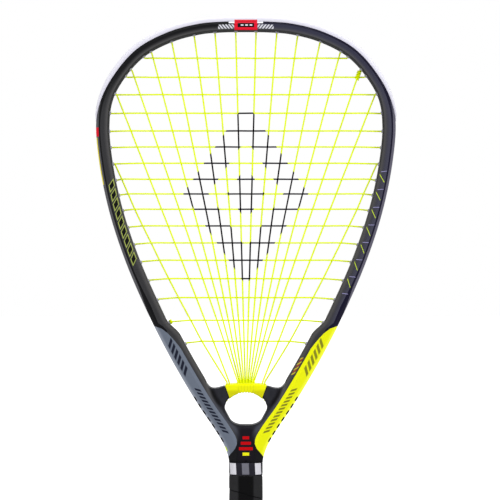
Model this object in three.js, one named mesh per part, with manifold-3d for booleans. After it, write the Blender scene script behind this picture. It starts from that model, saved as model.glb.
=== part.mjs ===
// A racquetball racket, 22 inches long, standing on its butt end.
// Millimetres. +Z runs from the butt to the head, +X to the right, and the front of the strings looks to -Y.
// The origin is the middle of the butt end.

import * as THREE from 'three';
import { mergeVertices } from 'three/addons/utils/BufferGeometryUtils.js';
import Module from 'manifold-3d';

const wasm = await Module();
wasm.setup();

// Whole racket
const overallLength = 559;
const headWidth = 265.5;
const neckWidth = 30.2;
const handleLength = 164;
const gap = 0.3;
const overrun = 6;

// Hollow frame: the width is seen from the front, the depth from the side
const hoopWidthCrown = 9.2;
const hoopWidthSide = 11;
const hoopWidthLow = 11.9;
const armWidth = 16.9;
const armWidthAtThroat = 13.6;
const hoopDepth = 20;
const armDepth = 21;
const frameWall = 1;
const innerRounding = 1.9;
const hoopBevelWidth = 3.4;
const hoopBevelDrop = 3.5;
const armBevelWidth = 10.2;
const armBevelDrop = 6;
const channelDepth = 2.7;
const channelWidth = 5.8;
const channelTrace = 0.08;
const channelMargin = 12.7;
const stepLength = 17;

// Places along the frame, as shares of the height from the collar to the crown
const narrowShare = 0.85;
const bumperEndShare = 0.771;
const widestShare = 0.766;
const stepShare = 0.266;

// The two legs of the frame in the handle, and the shoulder above them
const legOverlap = 0.35;
const legBevel = 1.4;
const shoulderHeight = 2.4;
const neckFillDrop = 1;
const neckFillMargin = 6.7;

// Bumper guard and grommet strips
const bumperThickness = 3.5;
const bumperEndThickness = 0.9;
const bumperWidth = 14.4;
const bumperRounding = 1.4;
const stripThickness = 0.8;
const grooveWidth = 4;
const stripGapAtBumper = 0.6;
const stripEndMargin = 3.4;
const boreClearance = 0.325;
const barrelWall = 0.55;
const barrelReach = 1.3;

// Strings
const stringDiameter = 1.25;
const weaveGap = 0.45;
const rowGap = 0.55;
const stringBend = 0.85;
const mouthClearance = 0.9;
const stringStep = 9;
const knotRadius = 1.15;
const knotOffset = 0.75;
const knotReach = 2.1;
const bridgeKnotReach = 4.4;
// The string holes where the cross string is tied off, counted from the crown
const tieOffMainCount = 6;
const tieOffCrossCount = 16;

// Throat: the yoke between the arms, its opening and the insert that the main strings pass
const throatWidth = 37.7;
const throatHeight = 29.1;
const throatWebWidth = 1.57;
const throatPower = 2.3;
const yokeDepth = 18;
const yokeRise = 3.5;
const cornerRise = 9;
const barDepth = 12.4;
const barRise = 5.2;
const insertDepth = 19.2;
const insertRise = 8;
const insertDrop = 6.4;
const insertTopMargin = 0.25;
const insertFootMargin = 4.65;
const tongueMargin = 1.5;
const tongueDepth = 5.2;
const tongueReach = 0.8;
const tongueDrop = 9.8;
const bridgePitch = 1.3;
const bridgeRowOffset = 1.15;
const bridgeBoreClearance = 0.225;
const outerPairMargin = 1.95;
const outerPairSpacing = 2;

// Handle
const gripWidth = 29.8;
const gripDepth = 26;
const gripWall = 1.6;
const gripFit = 0.2;
const palletSideWall = 3.1;
const palletFaceWall = 3.7;
const palletClearance = 2;
const legClearance = 0.5;
const coreDrop = 16;
const collarHeight = 11.4;
const collarFit = 0.25;
const tapeThickness = 0.5;
const tapeInset = 1;

// Butt cap
const capFlareSide = 1.7;
const capFlareFace = 1.6;
const capFlangeHeight = 10;
const capEdgeHeight = 1.5;
const capEdgeInset = 1.4;
const capShoulderHeight = 7;
const capShoulderInset = 0.4;
const capFloor = 3;
const skirtTop = 24;
const skirtWall = 1.1;
const cordSpaceWidth = 18;
const cordSpaceDepth = 14;
const cordSpaceTop = 12;
const cordHoleRadius = 3.2;
const eyeletWall = 0.7;
const eyeletFlangeRadius = 5.8;
const eyeletFlangeHeight = 0.8;
const eyeletTop = 3.8;
const pinRadius = 1.5;
const pinSeat = 3;
const pinHeight = 8;

// Staples
const stapleWire = 0.45;
const stapleMargin = 0.85;

// Outer edge of the frame, right half. First from the crown to the widest place, as shares of half the
// head width and of the height between the two.
const crownShares = [
  [0.16, 0.9966], [0.31, 0.9778], [0.523, 0.8957], [0.738, 0.7248], [0.9, 0.4487], [0.976, 0.2094], [1, 0],
];
// Then down to the neck. Across, the shares run from the neck's half width to the head's, and up, from the
// collar to the widest place.
const armShares = [
  [0.975, 0.8812], [0.9, 0.7389], [0.782, 0.5966], [0.627, 0.4543], [0.446, 0.312],
  [0.233, 0.1697], [0.112, 0.0992], [0.035, 0.0483], [0, 0.0052], [0, -0.0392],
];
// Where the six inner main strings of each side meet the hoop, across, as shares of half the head width
const mainTopShares = [0.068, 0.207, 0.348, 0.5, 0.638, 0.774];
// The two outer ones share these cross strings' holes
const sharedCrosses = [3, 7];
// Heights of the cross strings, as shares of the height from the collar to the crown
const crossShares = [
  0.9152, 0.8721, 0.8325, 0.7904, 0.7502, 0.7138, 0.6768, 0.6405, 0.6071, 0.5724, 0.5345,
  0.4959, 0.4566, 0.4148, 0.3717, 0.3203, 0.2725,
];
// The yoke's upper edge, from the insert across to the arm and up to it
const yokeCornerShares = [[0.02, 0.19], [0.4, 0], [0.65, 0.05], [0.83, 0.37], [1, 1]];
// Corner cut of the handle's octagon, and the frame's panels on the arms, along their length
const octagonShare = 0.3;
const panelShares = [[0, 0], [0.07, 0.62], [0.17, 0.86], [0.55, 0.93], [0.85, 1], [0.95, 0.75], [1, 0.3]];

const hoopRingCount = 24;
const armRingCount = 9;
const armPointCount = 6;
const openingPointCount = 28;
const webPointCount = 8;
const barrelSides = 6;
const stringSides = 4;
const roundSides = 14;

const crown = overallLength - bumperThickness;
const frameHeight = crown - handleLength;
const headHalf = headWidth / 2;
const neckHalf = neckWidth / 2;
const stringRadius = stringDiameter / 2;
const weaveHeight = (stringDiameter + weaveGap) / 2;
const rowOffset = (stringDiameter + rowGap) / 2;
const boreRadius = stringRadius + boreClearance;
const barrelRadius = boreRadius + barrelWall;
const heightAt = (share) => handleLength + share * frameHeight;
const narrowHeight = heightAt(narrowShare);
const bumperEndHeight = heightAt(bumperEndShare);
const widestHeight = heightAt(widestShare);
const stepBottom = heightAt(stepShare);
const stepTop = stepBottom + stepLength;
const channelEnd = heightAt(crossShares.at(-1)) - channelMargin;
const gripHalfX = gripWidth / 2;
const gripHalfY = gripDepth / 2;
const palletHalfX = gripHalfX - gripWall - gripFit;
const palletHalfY = gripHalfY - gripWall - gripFit;
const legPairHalf = palletHalfX - palletSideWall;
const legHalfDepth = palletHalfY - palletFaceWall;
const collarWall = gripWall - tapeThickness - collarFit;

// Solids

function solid(geometry) {
  const plain = geometry.clone();
  for (const name of Object.keys(plain.attributes)) {
    if (name !== 'position') plain.deleteAttribute(name);
  }
  const merged = mergeVertices(plain);
  const vertProperties = new Float32Array(merged.attributes.position.array);
  const triVerts = new Uint32Array(merged.index.array);
  return new wasm.Manifold(new wasm.Mesh({ numProp: 3, vertProperties, triVerts }));
}

function geometryOf(body) {
  const { vertProperties, triVerts } = body.getMesh();
  const geometry = new THREE.BufferGeometry();
  geometry.setAttribute('position', new THREE.BufferAttribute(new Float32Array(vertProperties), 3));
  geometry.setIndex(new THREE.BufferAttribute(new Uint32Array(triVerts), 1));
  return geometry;
}

function union(bodies) {
  return bodies.reduce((whole, body) => whole.add(body));
}

// Joins rings of points, each the same flat outline moved along, into one closed body.
function loft(rings, flatOutline) {
  const count = flatOutline.length;
  const positions = rings.flat().flatMap((point) => [point.x, point.y, point.z]);
  const faces = [];
  for (let ring = 0; ring + 1 < rings.length; ring += 1) {
    for (let i = 0; i < count; i += 1) {
      const a = ring * count + i;
      const b = ring * count + (i + 1) % count;
      faces.push(a, b, b + count, a, b + count, a + count);
    }
  }
  const last = (rings.length - 1) * count;
  for (const [a, b, c] of capTriangles(flatOutline)) {
    faces.push(a, c, b, last + a, last + b, last + c);
  }
  const geometry = new THREE.BufferGeometry();
  geometry.setAttribute('position', new THREE.Float32BufferAttribute(positions, 3));
  geometry.setIndex(signedVolume(positions, faces) < 0 ? turned(faces) : faces);
  return geometry;
}

// Triangles that fill an outline, each running the same way round as the outline does
function capTriangles(flatOutline) {
  const way = Math.sign(THREE.ShapeUtils.area(flatOutline));
  return THREE.ShapeUtils.triangulateShape(flatOutline, []).map((face) => {
    const triangle = face.map((index) => flatOutline[index]);
    return Math.sign(THREE.ShapeUtils.area(triangle)) === way ? face : [...face].reverse();
  });
}

function signedVolume(positions, faces) {
  const corner = (index) => new THREE.Vector3().fromArray(positions, index * 3);
  let volume = 0;
  for (let i = 0; i < faces.length; i += 3) {
    volume += corner(faces[i]).dot(corner(faces[i + 1]).cross(corner(faces[i + 2])));
  }
  return volume;
}

function turned(faces) {
  const flipped = [];
  for (let i = 0; i < faces.length; i += 3) flipped.push(faces[i], faces[i + 2], faces[i + 1]);
  return flipped;
}

function box(left, right, front, back, bottom, top) {
  const geometry = new THREE.BoxGeometry(right - left, back - front, top - bottom);
  geometry.translate((left + right) / 2, (front + back) / 2, (bottom + top) / 2);
  return solid(geometry);
}

// An outline in the plane of the strings, as thick as depth, half to each side of that plane
function plate(outline, depth) {
  const geometry = new THREE.ExtrudeGeometry(new THREE.Shape(outline), { depth, bevelEnabled: false });
  geometry.translate(0, 0, -depth / 2);
  geometry.rotateX(Math.PI / 2);
  return solid(geometry);
}

function octagon(halfX, halfY) {
  const cut = octagonShare * halfY;
  return [
    [halfX, -halfY + cut], [halfX, halfY - cut], [halfX - cut, halfY], [-halfX + cut, halfY],
    [-halfX, halfY - cut], [-halfX, -halfY + cut], [-halfX + cut, -halfY], [halfX - cut, -halfY],
  ].map(([x, y]) => new THREE.Vector2(x, y));
}

function octagonBlock(halfX, halfY, bottom, top) {
  const outline = octagon(halfX, halfY);
  const shape = new THREE.Shape(outline);
  const geometry = new THREE.ExtrudeGeometry(shape, { depth: top - bottom, bevelEnabled: false });
  geometry.translate(0, 0, bottom);
  return solid(geometry);
}

function octagonSleeve(halfX, halfY, wall, bottom, top) {
  const bore = octagonBlock(halfX - wall, halfY - wall, bottom - overrun, top + overrun);
  return octagonBlock(halfX, halfY, bottom, top).subtract(bore);
}

// Frame outline

function outlinePoints() {
  const crownHalf = crownShares.map(([across, up]) => [
    across * headHalf, widestHeight + up * (crown - widestHeight),
  ]);
  const armHalf = armShares.map(([across, up]) => [
    neckHalf + across * (headHalf - neckHalf), handleLength + up * (widestHeight - handleLength),
  ]);
  const right = [...crownHalf, ...armHalf].map(([x, z]) => new THREE.Vector3(x, 0, z));
  const left = right.map((point) => new THREE.Vector3(-point.x, 0, point.z)).reverse();
  return [...left, new THREE.Vector3(0, 0, crown), ...right];
}

const outline = new THREE.CatmullRomCurve3(outlinePoints(), false, 'centripetal');
outline.arcLengthDivisions = 2400;
const outlineLength = outline.getLength();

// The outline's share at a distance from the crown, side 1 for right or -1 for left
function edgeShare(distance, side = 1) {
  return THREE.MathUtils.clamp(0.5 + side * distance / outlineLength, 0, 1);
}

// Distance from the crown at which a measure of the right half falls to zero
function whereZero(measure) {
  let near = 0;
  let far = outlineLength / 2;
  for (let i = 0; i < 40; i += 1) {
    const middle = (near + far) / 2;
    if (measure(middle) > 0) near = middle;
    else far = middle;
  }
  return near;
}

function ease(from, to, share) {
  const t = THREE.MathUtils.clamp(share, 0, 1);
  return from + (to - from) * t * t * (3 - 2 * t);
}

// The arm's width from the throat's middle down to the neck, where the two arms meet
function lowArmWidth(height, edge, bottom) {
  return ease(Math.abs(edge) + legOverlap, armWidthAtThroat, (height - handleLength) / (bottom - handleLength));
}

// Least width of the yoke between the lower half of the opening and an arm, with the opening's middle here
function webWidthAround(middle) {
  const innerPoint = (distance) => {
    const point = outline.getPointAt(edgeShare(distance));
    const along = outline.getTangentAt(edgeShare(distance));
    const width = lowArmWidth(point.z, point.x, middle - throatHeight / 2);
    return { x: point.x + width * along.z, z: point.z - width * along.x };
  };
  const widths = Array.from({ length: webPointCount }, (_, i) => {
    const down = i / webPointCount;
    const across = throatWidth / 2 * (1 - down ** throatPower) ** (1 / throatPower);
    const height = middle - down * throatHeight / 2;
    return innerPoint(whereZero((distance) => innerPoint(distance).z - height)).x - across;
  });
  return Math.min(...widths);
}

// The throat opening lies where the arms leave room for it and for the yoke's webs beside it.
const throatPlace = whereZero((distance) => {
  const { z } = outline.getPointAt(edgeShare(distance));
  return z > widestHeight ? headWidth : webWidthAround(z) - throatWebWidth;
});
const throatMiddle = outline.getPointAt(edgeShare(throatPlace)).z;
const throatBottom = throatMiddle - throatHeight / 2;
const throatTop = throatMiddle + throatHeight / 2;
const yokeTop = throatTop + yokeRise;
const barTop = throatTop + barRise;
const insertTop = throatTop + insertRise;
const insertFoot = throatTop - insertDrop;
const tongueFoot = throatTop - tongueDrop;
const neckFillTop = throatBottom - neckFillMargin;

function between(shares, at) {
  const next = shares.findIndex(([place]) => place >= at);
  if (next <= 0) return shares[next === 0 ? 0 : shares.length - 1][1];
  const [placeA, valueA] = shares[next - 1];
  const [placeB, valueB] = shares[next];
  return valueA + (valueB - valueA) * (at - placeA) / (placeB - placeA);
}

function widthAt(height, edge) {
  if (height >= widestHeight) {
    return ease(hoopWidthSide, hoopWidthCrown, (height - widestHeight) / (narrowHeight - widestHeight));
  }
  if (height >= stepTop) {
    return ease(hoopWidthLow, hoopWidthSide, (height - stepTop) / (widestHeight - stepTop));
  }
  if (height >= yokeTop) return ease(armWidth, hoopWidthLow, (height - stepBottom) / (stepTop - stepBottom));
  if (height >= throatMiddle) {
    return ease(armWidthAtThroat, armWidth, (height - throatMiddle) / (yokeTop - throatMiddle));
  }
  return lowArmWidth(height, edge, throatBottom);
}

// Sizes of the frame's section where its outer edge is at this height
function sectionAt(height, edge) {
  const onArm = (stepTop - height) / (stepTop - handleLength);
  const panel = between(panelShares, THREE.MathUtils.clamp(onArm, 0, 1));
  return {
    width: widthAt(height, edge),
    halfDepth: ease(armDepth, hoopDepth, (height - stepBottom) / (stepTop - stepBottom)) / 2,
    bevelWidth: hoopBevelWidth + (armBevelWidth - hoopBevelWidth) * (onArm > 0 ? panel : 0),
    bevelDrop: ease(armBevelDrop, hoopBevelDrop, (height - stepBottom) / (stepTop - stepBottom)),
    channel: height < channelEnd ? channelTrace : channelDepth,
  };
}

// A place on the outer edge, with its directions and the sizes of the frame there
function stationAt(distance, side = 1) {
  const at = edgeShare(distance, side);
  const point = outline.getPointAt(at);
  const along = outline.getTangentAt(at).multiplyScalar(side);
  const inward = new THREE.Vector3(-along.z * -side, 0, -along.x * side);
  return { point, along, inward, ...sectionAt(point.z, point.x) };
}

function legStation(halfWidth, height) {
  return {
    point: new THREE.Vector3(halfWidth, 0, height),
    along: new THREE.Vector3(0, 0, -1),
    inward: new THREE.Vector3(-1, 0, 0),
    width: halfWidth + legOverlap,
    halfDepth: legHalfDepth,
    bevelWidth: legBevel,
    bevelDrop: legBevel,
    channel: channelTrace,
  };
}

function mirrored(station) {
  const flip = (vector) => new THREE.Vector3(-vector.x, vector.y, vector.z);
  return {
    ...station, point: flip(station.point), along: flip(station.along), inward: flip(station.inward),
  };
}

// A point of the frame: inwards from the outer edge, back from the middle plane, and along the edge
function placed(station, inwards, back, forward = 0) {
  return station.point.clone()
    .addScaledVector(station.inward, inwards)
    .addScaledVector(station.along, forward)
    .add(new THREE.Vector3(0, back, 0));
}

function outerSection({ width, halfDepth, bevelWidth, bevelDrop, channel }) {
  const half = [
    [channel, channelWidth / 2], [0, channelWidth / 2], [0, halfDepth - bevelDrop], [bevelWidth, halfDepth],
    [width - innerRounding, halfDepth], [width, halfDepth - innerRounding],
  ];
  return bothFaces(half);
}

// The hollow follows the section one wall thickness in, as a convex outline.
function hollowSection({ width, halfDepth, bevelWidth, bevelDrop, channel }) {
  const rise = bevelDrop * channel / bevelWidth;
  const half = [
    [channel, halfDepth - bevelDrop + rise], [bevelWidth, halfDepth],
    [width - innerRounding, halfDepth], [width, halfDepth - innerRounding],
  ];
  return inset(bothFaces(half), frameWall);
}

function bothFaces(half) {
  const back = half.map(([u, v]) => new THREE.Vector2(u, v));
  const front = half.map(([u, v]) => new THREE.Vector2(u, -v)).reverse();
  return [...back, ...front];
}

function inset(points, distance) {
  const count = points.length;
  const turn = Math.sign(THREE.ShapeUtils.area(points));
  return points.map((point, i) => {
    const before = point.clone().sub(points[(i + count - 1) % count]).normalize();
    const after = points[(i + 1) % count].clone().sub(point).normalize();
    const inBefore = new THREE.Vector2(-before.y, before.x).multiplyScalar(turn);
    const inAfter = new THREE.Vector2(-after.y, after.x).multiplyScalar(turn);
    const middle = inBefore.clone().add(inAfter).normalize();
    return point.clone().addScaledVector(middle, distance / middle.dot(inBefore));
  });
}

function sweep(stations, sectionOf) {
  const sections = stations.map(sectionOf);
  const rings = stations.map((station, i) => sections[i].map(({ x, y }) => placed(station, x, y)));
  return solid(loft(rings, sections[0]));
}

const shoulderTop = handleLength + gap;

// Distances from the crown of the rings that shape the frame and what lies in its channel
function ringDistances() {
  const step = distanceAt((station) => station.point.z - stepTop);
  const neck = distanceAt((station) => station.point.z - shoulderTop - shoulderHeight);
  const hoop = Array.from({ length: hoopRingCount }, (_, i) => step * (i + 1) / hoopRingCount);
  const arm = Array.from({ length: armRingCount }, (_, i) => step + (neck - step) * (i + 1) / armRingCount);
  const channelStop = distanceAt((station) => station.point.z - channelEnd);
  return [...hoop, ...arm, channelStop].sort((a, b) => a - b);
}

const ringPlaces = ringDistances();

function rightStations(lowest) {
  return [
    ...ringPlaces.map((distance) => stationAt(distance)),
    { ...legStation(neckHalf, shoulderTop), halfDepth: armDepth / 2 },
    legStation(legPairHalf, shoulderTop - gap),
    legStation(legPairHalf, lowest),
  ];
}

function distanceAt(measure) {
  return whereZero((distance) => measure(stationAt(distance)));
}

function hairpin(lowest) {
  const right = rightStations(lowest);
  return [...right.map(mirrored).reverse(), stationAt(0), ...right];
}

// String holes

const crossHeights = crossShares.map(heightAt);
const crossDistances = crossHeights.map((height) => (
  distanceAt((station) => placed(station, station.width, 0).z - height)
));
const topDistances = mainTopShares.map((share) => (
  distanceAt((station) => share * headHalf - placed(station, station.width, 0).x)
));
const mainDistances = [...topDistances, ...sharedCrosses.map((number) => crossDistances[number - 1])];
const bumperEndDistance = distanceAt((station) => station.point.z - bumperEndHeight);
const stripEndDistance = crossDistances.at(-1) + barrelRadius + stripEndMargin;
const tailDistances = { start: topDistances[tieOffMainCount - 1], end: crossDistances[tieOffCrossCount - 1] };

// Every hole of one side, with the rows of strings that it holds: main strings in front, crosses behind
function holesOf(side) {
  const rows = new Map();
  const put = (distance, row) => rows.set(distance, [...(rows.get(distance) ?? []), row]);
  mainDistances.forEach((distance) => put(distance, -rowOffset));
  crossDistances.forEach((distance) => put(distance, rowOffset));
  if (side > 0) put(tailDistances.start, rowOffset);
  else put(tailDistances.end, -rowOffset);
  return [...rows].map(([distance, held]) => ({
    distance,
    station: stationAt(distance, side),
    middle: (Math.min(...held) + Math.max(...held)) / 2,
    spread: (Math.max(...held) - Math.min(...held)) / 2,
  }));
}

function rod(hole, from, to, radius, sides) {
  const circle = Array.from({ length: sides }, (_, i) => {
    const angle = 2 * Math.PI * (i + 0.5) / sides;
    const across = radius * Math.cos(angle) / Math.cos(Math.PI / sides);
    return new THREE.Vector2(across, hole.middle + (radius + hole.spread) * Math.sin(angle));
  });
  const rings = [from, to].map((depth) => circle.map(({ x, y }) => placed(hole.station, depth, y, x)));
  return solid(loft(rings, circle));
}

const holes = [...holesOf(1), ...holesOf(-1)];
const frameHoles = union(holes.map((hole) => (
  rod(hole, -overrun, hole.station.width + overrun, barrelRadius + gap, barrelSides)
)));

function makeFrame() {
  const shell = sweep(hairpin(legEnd), outerSection);
  const fillX = neckHalf / 2;
  const fillY = armDepth / 2 - neckFillDrop;
  const fill = box(-fillX, fillX, -fillY, fillY, shoulderTop + shoulderHeight, neckFillTop);
  const hollow = sweep(hairpin(legEnd - overrun), hollowSection);
  return shell.add(fill).subtract(hollow).subtract(frameHoles);
}

// Grommet strips and bumper guard

const stripBack = channelDepth - gap;
const stripFace = stripBack - stripThickness;
const stripHalf = channelWidth / 2 - gap;

// A trough in the frame's channel, with lips as high as the frame's edge
function stripSection() {
  const half = [
    [stripBack, stripHalf], [0, stripHalf], [0, grooveWidth / 2], [stripFace, grooveWidth / 2],
  ];
  return bothFaces(half);
}

// The same trough with wings over the frame's edge, thickest at the crown
function bumperSection(station) {
  const share = (crown - station.point.z) / (crown - bumperEndHeight);
  const top = -bumperThickness + (bumperThickness - bumperEndThickness) * share ** 3;
  const wing = bumperWidth / 2;
  const half = [
    [stripBack, stripHalf], [-gap, stripHalf], [-gap, wing - bumperRounding],
    [Math.max(top, -bumperThickness) / 2, wing], [top, wing - bumperRounding], [top, grooveWidth / 2],
    [stripFace, grooveWidth / 2],
  ];
  return bothFaces(half);
}

function withBarrels(strip, held) {
  const barrels = held.map((hole) => (
    rod(hole, stripBack - stripThickness / 2, hole.station.width + barrelReach, barrelRadius, barrelSides)
  ));
  const bores = held.map((hole) => (
    rod(hole, -overrun, hole.station.width + overrun, boreRadius, barrelSides)
  ));
  return union([strip, ...barrels]).subtract(union(bores));
}

// The frame's own rings between two distances, and those two, so that faces of both run alike
function stationsBetween(from, to, side) {
  const inside = ringPlaces.filter((distance) => distance > from + gap && distance < to - gap);
  return [from, ...inside, to].map((distance) => stationAt(distance, side));
}

function makeBumper() {
  const left = stationsBetween(0, bumperEndDistance, -1).reverse();
  const right = stationsBetween(0, bumperEndDistance, 1).slice(1);
  const forward = left.map((station) => ({ ...station, along: station.along.clone().negate() }));
  const strip = sweep([...forward, ...right], bumperSection);
  return withBarrels(strip, holes.filter((hole) => hole.distance < bumperEndDistance));
}

function makeStrip(side) {
  const stations = stationsBetween(bumperEndDistance + stripGapAtBumper, stripEndDistance, side);
  const own = holesOf(side).filter((hole) => hole.distance > bumperEndDistance);
  return withBarrels(sweep(stations, stripSection), own);
}

// Throat

// The throat opening, a squarish ellipse, drawn in all round by margin
function throatOutline(margin) {
  const halfWidth = throatWidth / 2 - margin;
  const halfHeight = throatHeight / 2 - margin;
  const power = 2 / throatPower;
  return Array.from({ length: openingPointCount }, (_, i) => {
    const angle = 2 * Math.PI * i / openingPointCount;
    const [across, up] = [Math.cos(angle), Math.sin(angle)];
    return new THREE.Vector2(
      Math.sign(across) * Math.abs(across) ** power * halfWidth,
      throatMiddle + Math.sign(up) * Math.abs(up) ** power * halfHeight,
    );
  });
}

function throatRoof(across) {
  const share = Math.min(Math.abs(across) / (throatWidth / 2), 1);
  return throatMiddle + throatHeight / 2 * (1 - share ** throatPower) ** (1 / throatPower);
}

const insertHalf = throatWidth / 2 + insertTopMargin;

function insertOutline(margin) {
  const top = insertHalf + margin;
  const foot = throatWidth / 2 - insertFootMargin + margin;
  return [
    [-top, insertTop + margin], [-foot, insertFoot - margin], [foot, insertFoot - margin],
    [top, insertTop + margin],
  ].map(([x, z]) => new THREE.Vector2(x, z));
}

// Where each main string passes the bridge, from left to right: across, and its row in depth
const outerPairOuter = throatWidth / 2 - outerPairMargin;
const outerPairInner = outerPairOuter - outerPairSpacing;
const bridgeHalf = [
  ...mainTopShares.map((_, i) => bridgePitch * (i + 0.5)), outerPairInner, outerPairOuter,
];
const bridgePlaces = [...bridgeHalf.map((x) => -x).reverse(), ...bridgeHalf].map((x, i) => ({
  x, row: i % 2 ? bridgeRowOffset : -bridgeRowOffset,
}));

function tongues(margin) {
  const innerEnd = bridgePitch * mainTopShares.length - bridgePitch / 2 + tongueMargin + margin;
  const depth = tongueDepth / 2 + margin;
  const pairStart = outerPairInner - tongueMargin - margin;
  const pairEnd = outerPairOuter + tongueMargin + margin;
  return union([
    box(-innerEnd, innerEnd, -depth, depth, tongueFoot, barTop + overrun / 2),
    box(pairStart, pairEnd, -depth, depth, tongueFoot, barTop + overrun / 2),
    box(-pairEnd, -pairStart, -depth, depth, tongueFoot, barTop + overrun / 2),
  ]);
}

// Across, where the right arm's inner edge is at a height, or as far into the arm as said
function armInnerEdge(height, into = 0) {
  const inner = (station) => placed(station, station.width - into, 0);
  return inner(stationAt(distanceAt((station) => inner(station).z - height))).x;
}

function makeYoke() {
  const start = insertHalf + gap;
  const cornerReach = armInnerEdge(yokeTop + cornerRise) - start;
  const edge = yokeCornerShares.map(([across, up]) => (
    new THREE.Vector2(start + across * cornerReach, yokeTop + up * cornerRise)
  ));
  const lowest = neckFillTop + gap;
  const inArm = Array.from({ length: armPointCount }, (_, i) => {
    const height = edge.at(-1).y + (lowest - edge.at(-1).y) * i / (armPointCount - 1);
    return new THREE.Vector2(armInnerEdge(height, 2 * innerRounding), height);
  });
  const farEdge = inArm[0].x;
  const right = [new THREE.Vector2(edge[0].x, barTop), ...edge, ...inArm];
  const left = right.map(({ x, y }) => new THREE.Vector2(-x, y)).reverse();
  const blank = plate([...right, ...left], yokeDepth);
  const opening = plate(throatOutline(0), yokeDepth + overrun);
  const barHalf = barDepth / 2;
  const bar = box(-farEdge, farEdge, -barHalf, barHalf, lowest - overrun, barTop);
  const saddleSpace = plate(insertOutline(gap), yokeDepth + overrun).subtract(bar);
  const fatArms = sweep(hairpin(legEnd).map((station) => (
    { ...station, width: station.width + gap, halfDepth: station.halfDepth + gap }
  )), outerSection);
  return blank.subtract(opening).subtract(saddleSpace).subtract(tongues(gap)).subtract(fatArms);
}

function makeInsert() {
  const blank = plate(insertOutline(0), insertDepth);
  const barHalf = barDepth / 2 + gap;
  const side = throatWidth;
  const bar = box(-side, side, -barHalf, barHalf, tongueFoot - overrun, barTop + gap);
  const through = plate(throatOutline(0), insertDepth + overrun);
  const inOpening = plate(throatOutline(tongueReach), insertDepth + overrun);
  const capped = tongues(0).subtract(box(-side, side, -side, side, insertTop, insertTop + side));
  const bores = union(bridgePlaces.map(({ x, row }) => {
    const radius = stringRadius + bridgeBoreClearance;
    const bore = new THREE.CylinderGeometry(radius, radius, insertTop - tongueFoot + overrun, barrelSides);
    bore.rotateX(Math.PI / 2);
    bore.translate(x, row, (insertTop + tongueFoot) / 2);
    return solid(bore);
  }));
  const saddle = blank.subtract(bar).subtract(through);
  return saddle.add(capped.subtract(inOpening)).subtract(bores);
}

// Strings

const stringLine = stripFace - gap - stringRadius;

// From the mouth of a hole's barrel out to the trough on the frame's outer edge, turning towards heading
function wayOut(distance, side, row, heading) {
  const station = stationAt(distance, side);
  const mouth = station.width + barrelReach + mouthClearance;
  return [
    placed(station, mouth, row),
    placed(station, stringLine + stringBend, row),
    placed(station, stringLine, row, heading * stringBend),
  ];
}

// Out of one hole, along the trough and in at the next hole
function outsideLoop(from, to, side, rowFrom, rowTo = rowFrom) {
  const heading = Math.sign(to - from);
  const out = wayOut(from, side, rowFrom, heading);
  const back = wayOut(to, side, rowTo, -heading).reverse();
  const count = Math.ceil(Math.abs(to - from) / stringStep);
  const run = Array.from({ length: count - 1 }, (_, i) => {
    const share = (i + 1) / count;
    const row = rowFrom + (rowTo - rowFrom) * share;
    return placed(stationAt(from + (to - from) * share, side), stringLine, row);
  });
  return [...out, ...run, ...back];
}

const mainCount = bridgePlaces.length;
const bridgeMouth = insertTop + mouthClearance;

function mainLine(index) {
  const side = index < mainCount / 2 ? -1 : 1;
  const number = side > 0 ? index - mainCount / 2 : mainCount / 2 - 1 - index;
  const distance = mainDistances[number];
  const station = stationAt(distance, side);
  const top = placed(station, station.width + barrelReach + mouthClearance, -rowOffset);
  const { x, row } = bridgePlaces[index];
  return { side, distance, top, foot: new THREE.Vector3(x, row, bridgeMouth) };
}

const mains = Array.from({ length: mainCount }, (_, index) => mainLine(index));

function mainXAt({ top, foot }, height) {
  return foot.x + (top.x - foot.x) * (height - foot.z) / (top.z - foot.z);
}

function frontSign(mainIndex, crossIndex) {
  return (mainIndex + crossIndex) % 2 ? 1 : -1;
}

// Places where a main string passes the crosses, from the top down
function mainCrossings(index) {
  const line = mains[index];
  return crossHeights.flatMap((height, cross) => (
    height < line.top.z - stringDiameter
      ? [new THREE.Vector3(mainXAt(line, height), weaveHeight * frontSign(index, cross), height)] : []
  ));
}

function crossCrossings(cross) {
  const height = crossHeights[cross];
  return mains.flatMap((line, index) => (
    height < line.top.z - stringDiameter
      ? [new THREE.Vector3(mainXAt(line, height), -weaveHeight * frontSign(index, cross), height)] : []
  ));
}

// Down through the bridge, under it and up again
function bridgeTurn(from, to) {
  const under = (x) => throatRoof(x) - tongueReach - gap - stringRadius;
  const down = (place) => [new THREE.Vector3(place.x, place.row, under(place.x))];
  const count = Math.max(1, Math.round(Math.abs(to.x - from.x) / (2 * bridgePitch)));
  const run = Array.from({ length: count + 1 }, (_, i) => {
    const share = (i + 0.5) / (count + 1);
    const x = from.x + (to.x - from.x) * share;
    return new THREE.Vector3(x, from.row + (to.row - from.row) * share, under(x) - stringBend / 2);
  });
  return [...down(from), ...run, ...down(to)];
}

function mainPath() {
  const end = bridgePlaces[0];
  const tail = (place) => [
    new THREE.Vector3(place.x - Math.sign(place.x) * knotOffset, place.row, throatRoof(place.x) - bridgeKnotReach),
    new THREE.Vector3(place.x, place.row, throatRoof(place.x)),
  ];
  const points = tail(end);
  mains.forEach((line, index) => {
    const up = index % 2 === 0;
    const passed = mainCrossings(index);
    points.push(...(up ? [line.foot, ...passed.reverse()] : [...passed, line.foot]));
    if (index === mainCount - 1) return;
    const next = mains[index + 1];
    if (up) points.push(...outsideLoop(line.distance, next.distance, line.side, -rowOffset));
    else points.push(...bridgeTurn(bridgePlaces[index], bridgePlaces[index + 1]));
  });
  return [...points, ...tail(bridgePlaces.at(-1)).reverse()];
}

function knotEnd(distance, side, row) {
  const station = stationAt(distance, side);
  const reach = station.width + barrelReach;
  return placed(station, reach + knotReach, row + Math.sign(row) * knotOffset);
}

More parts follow.
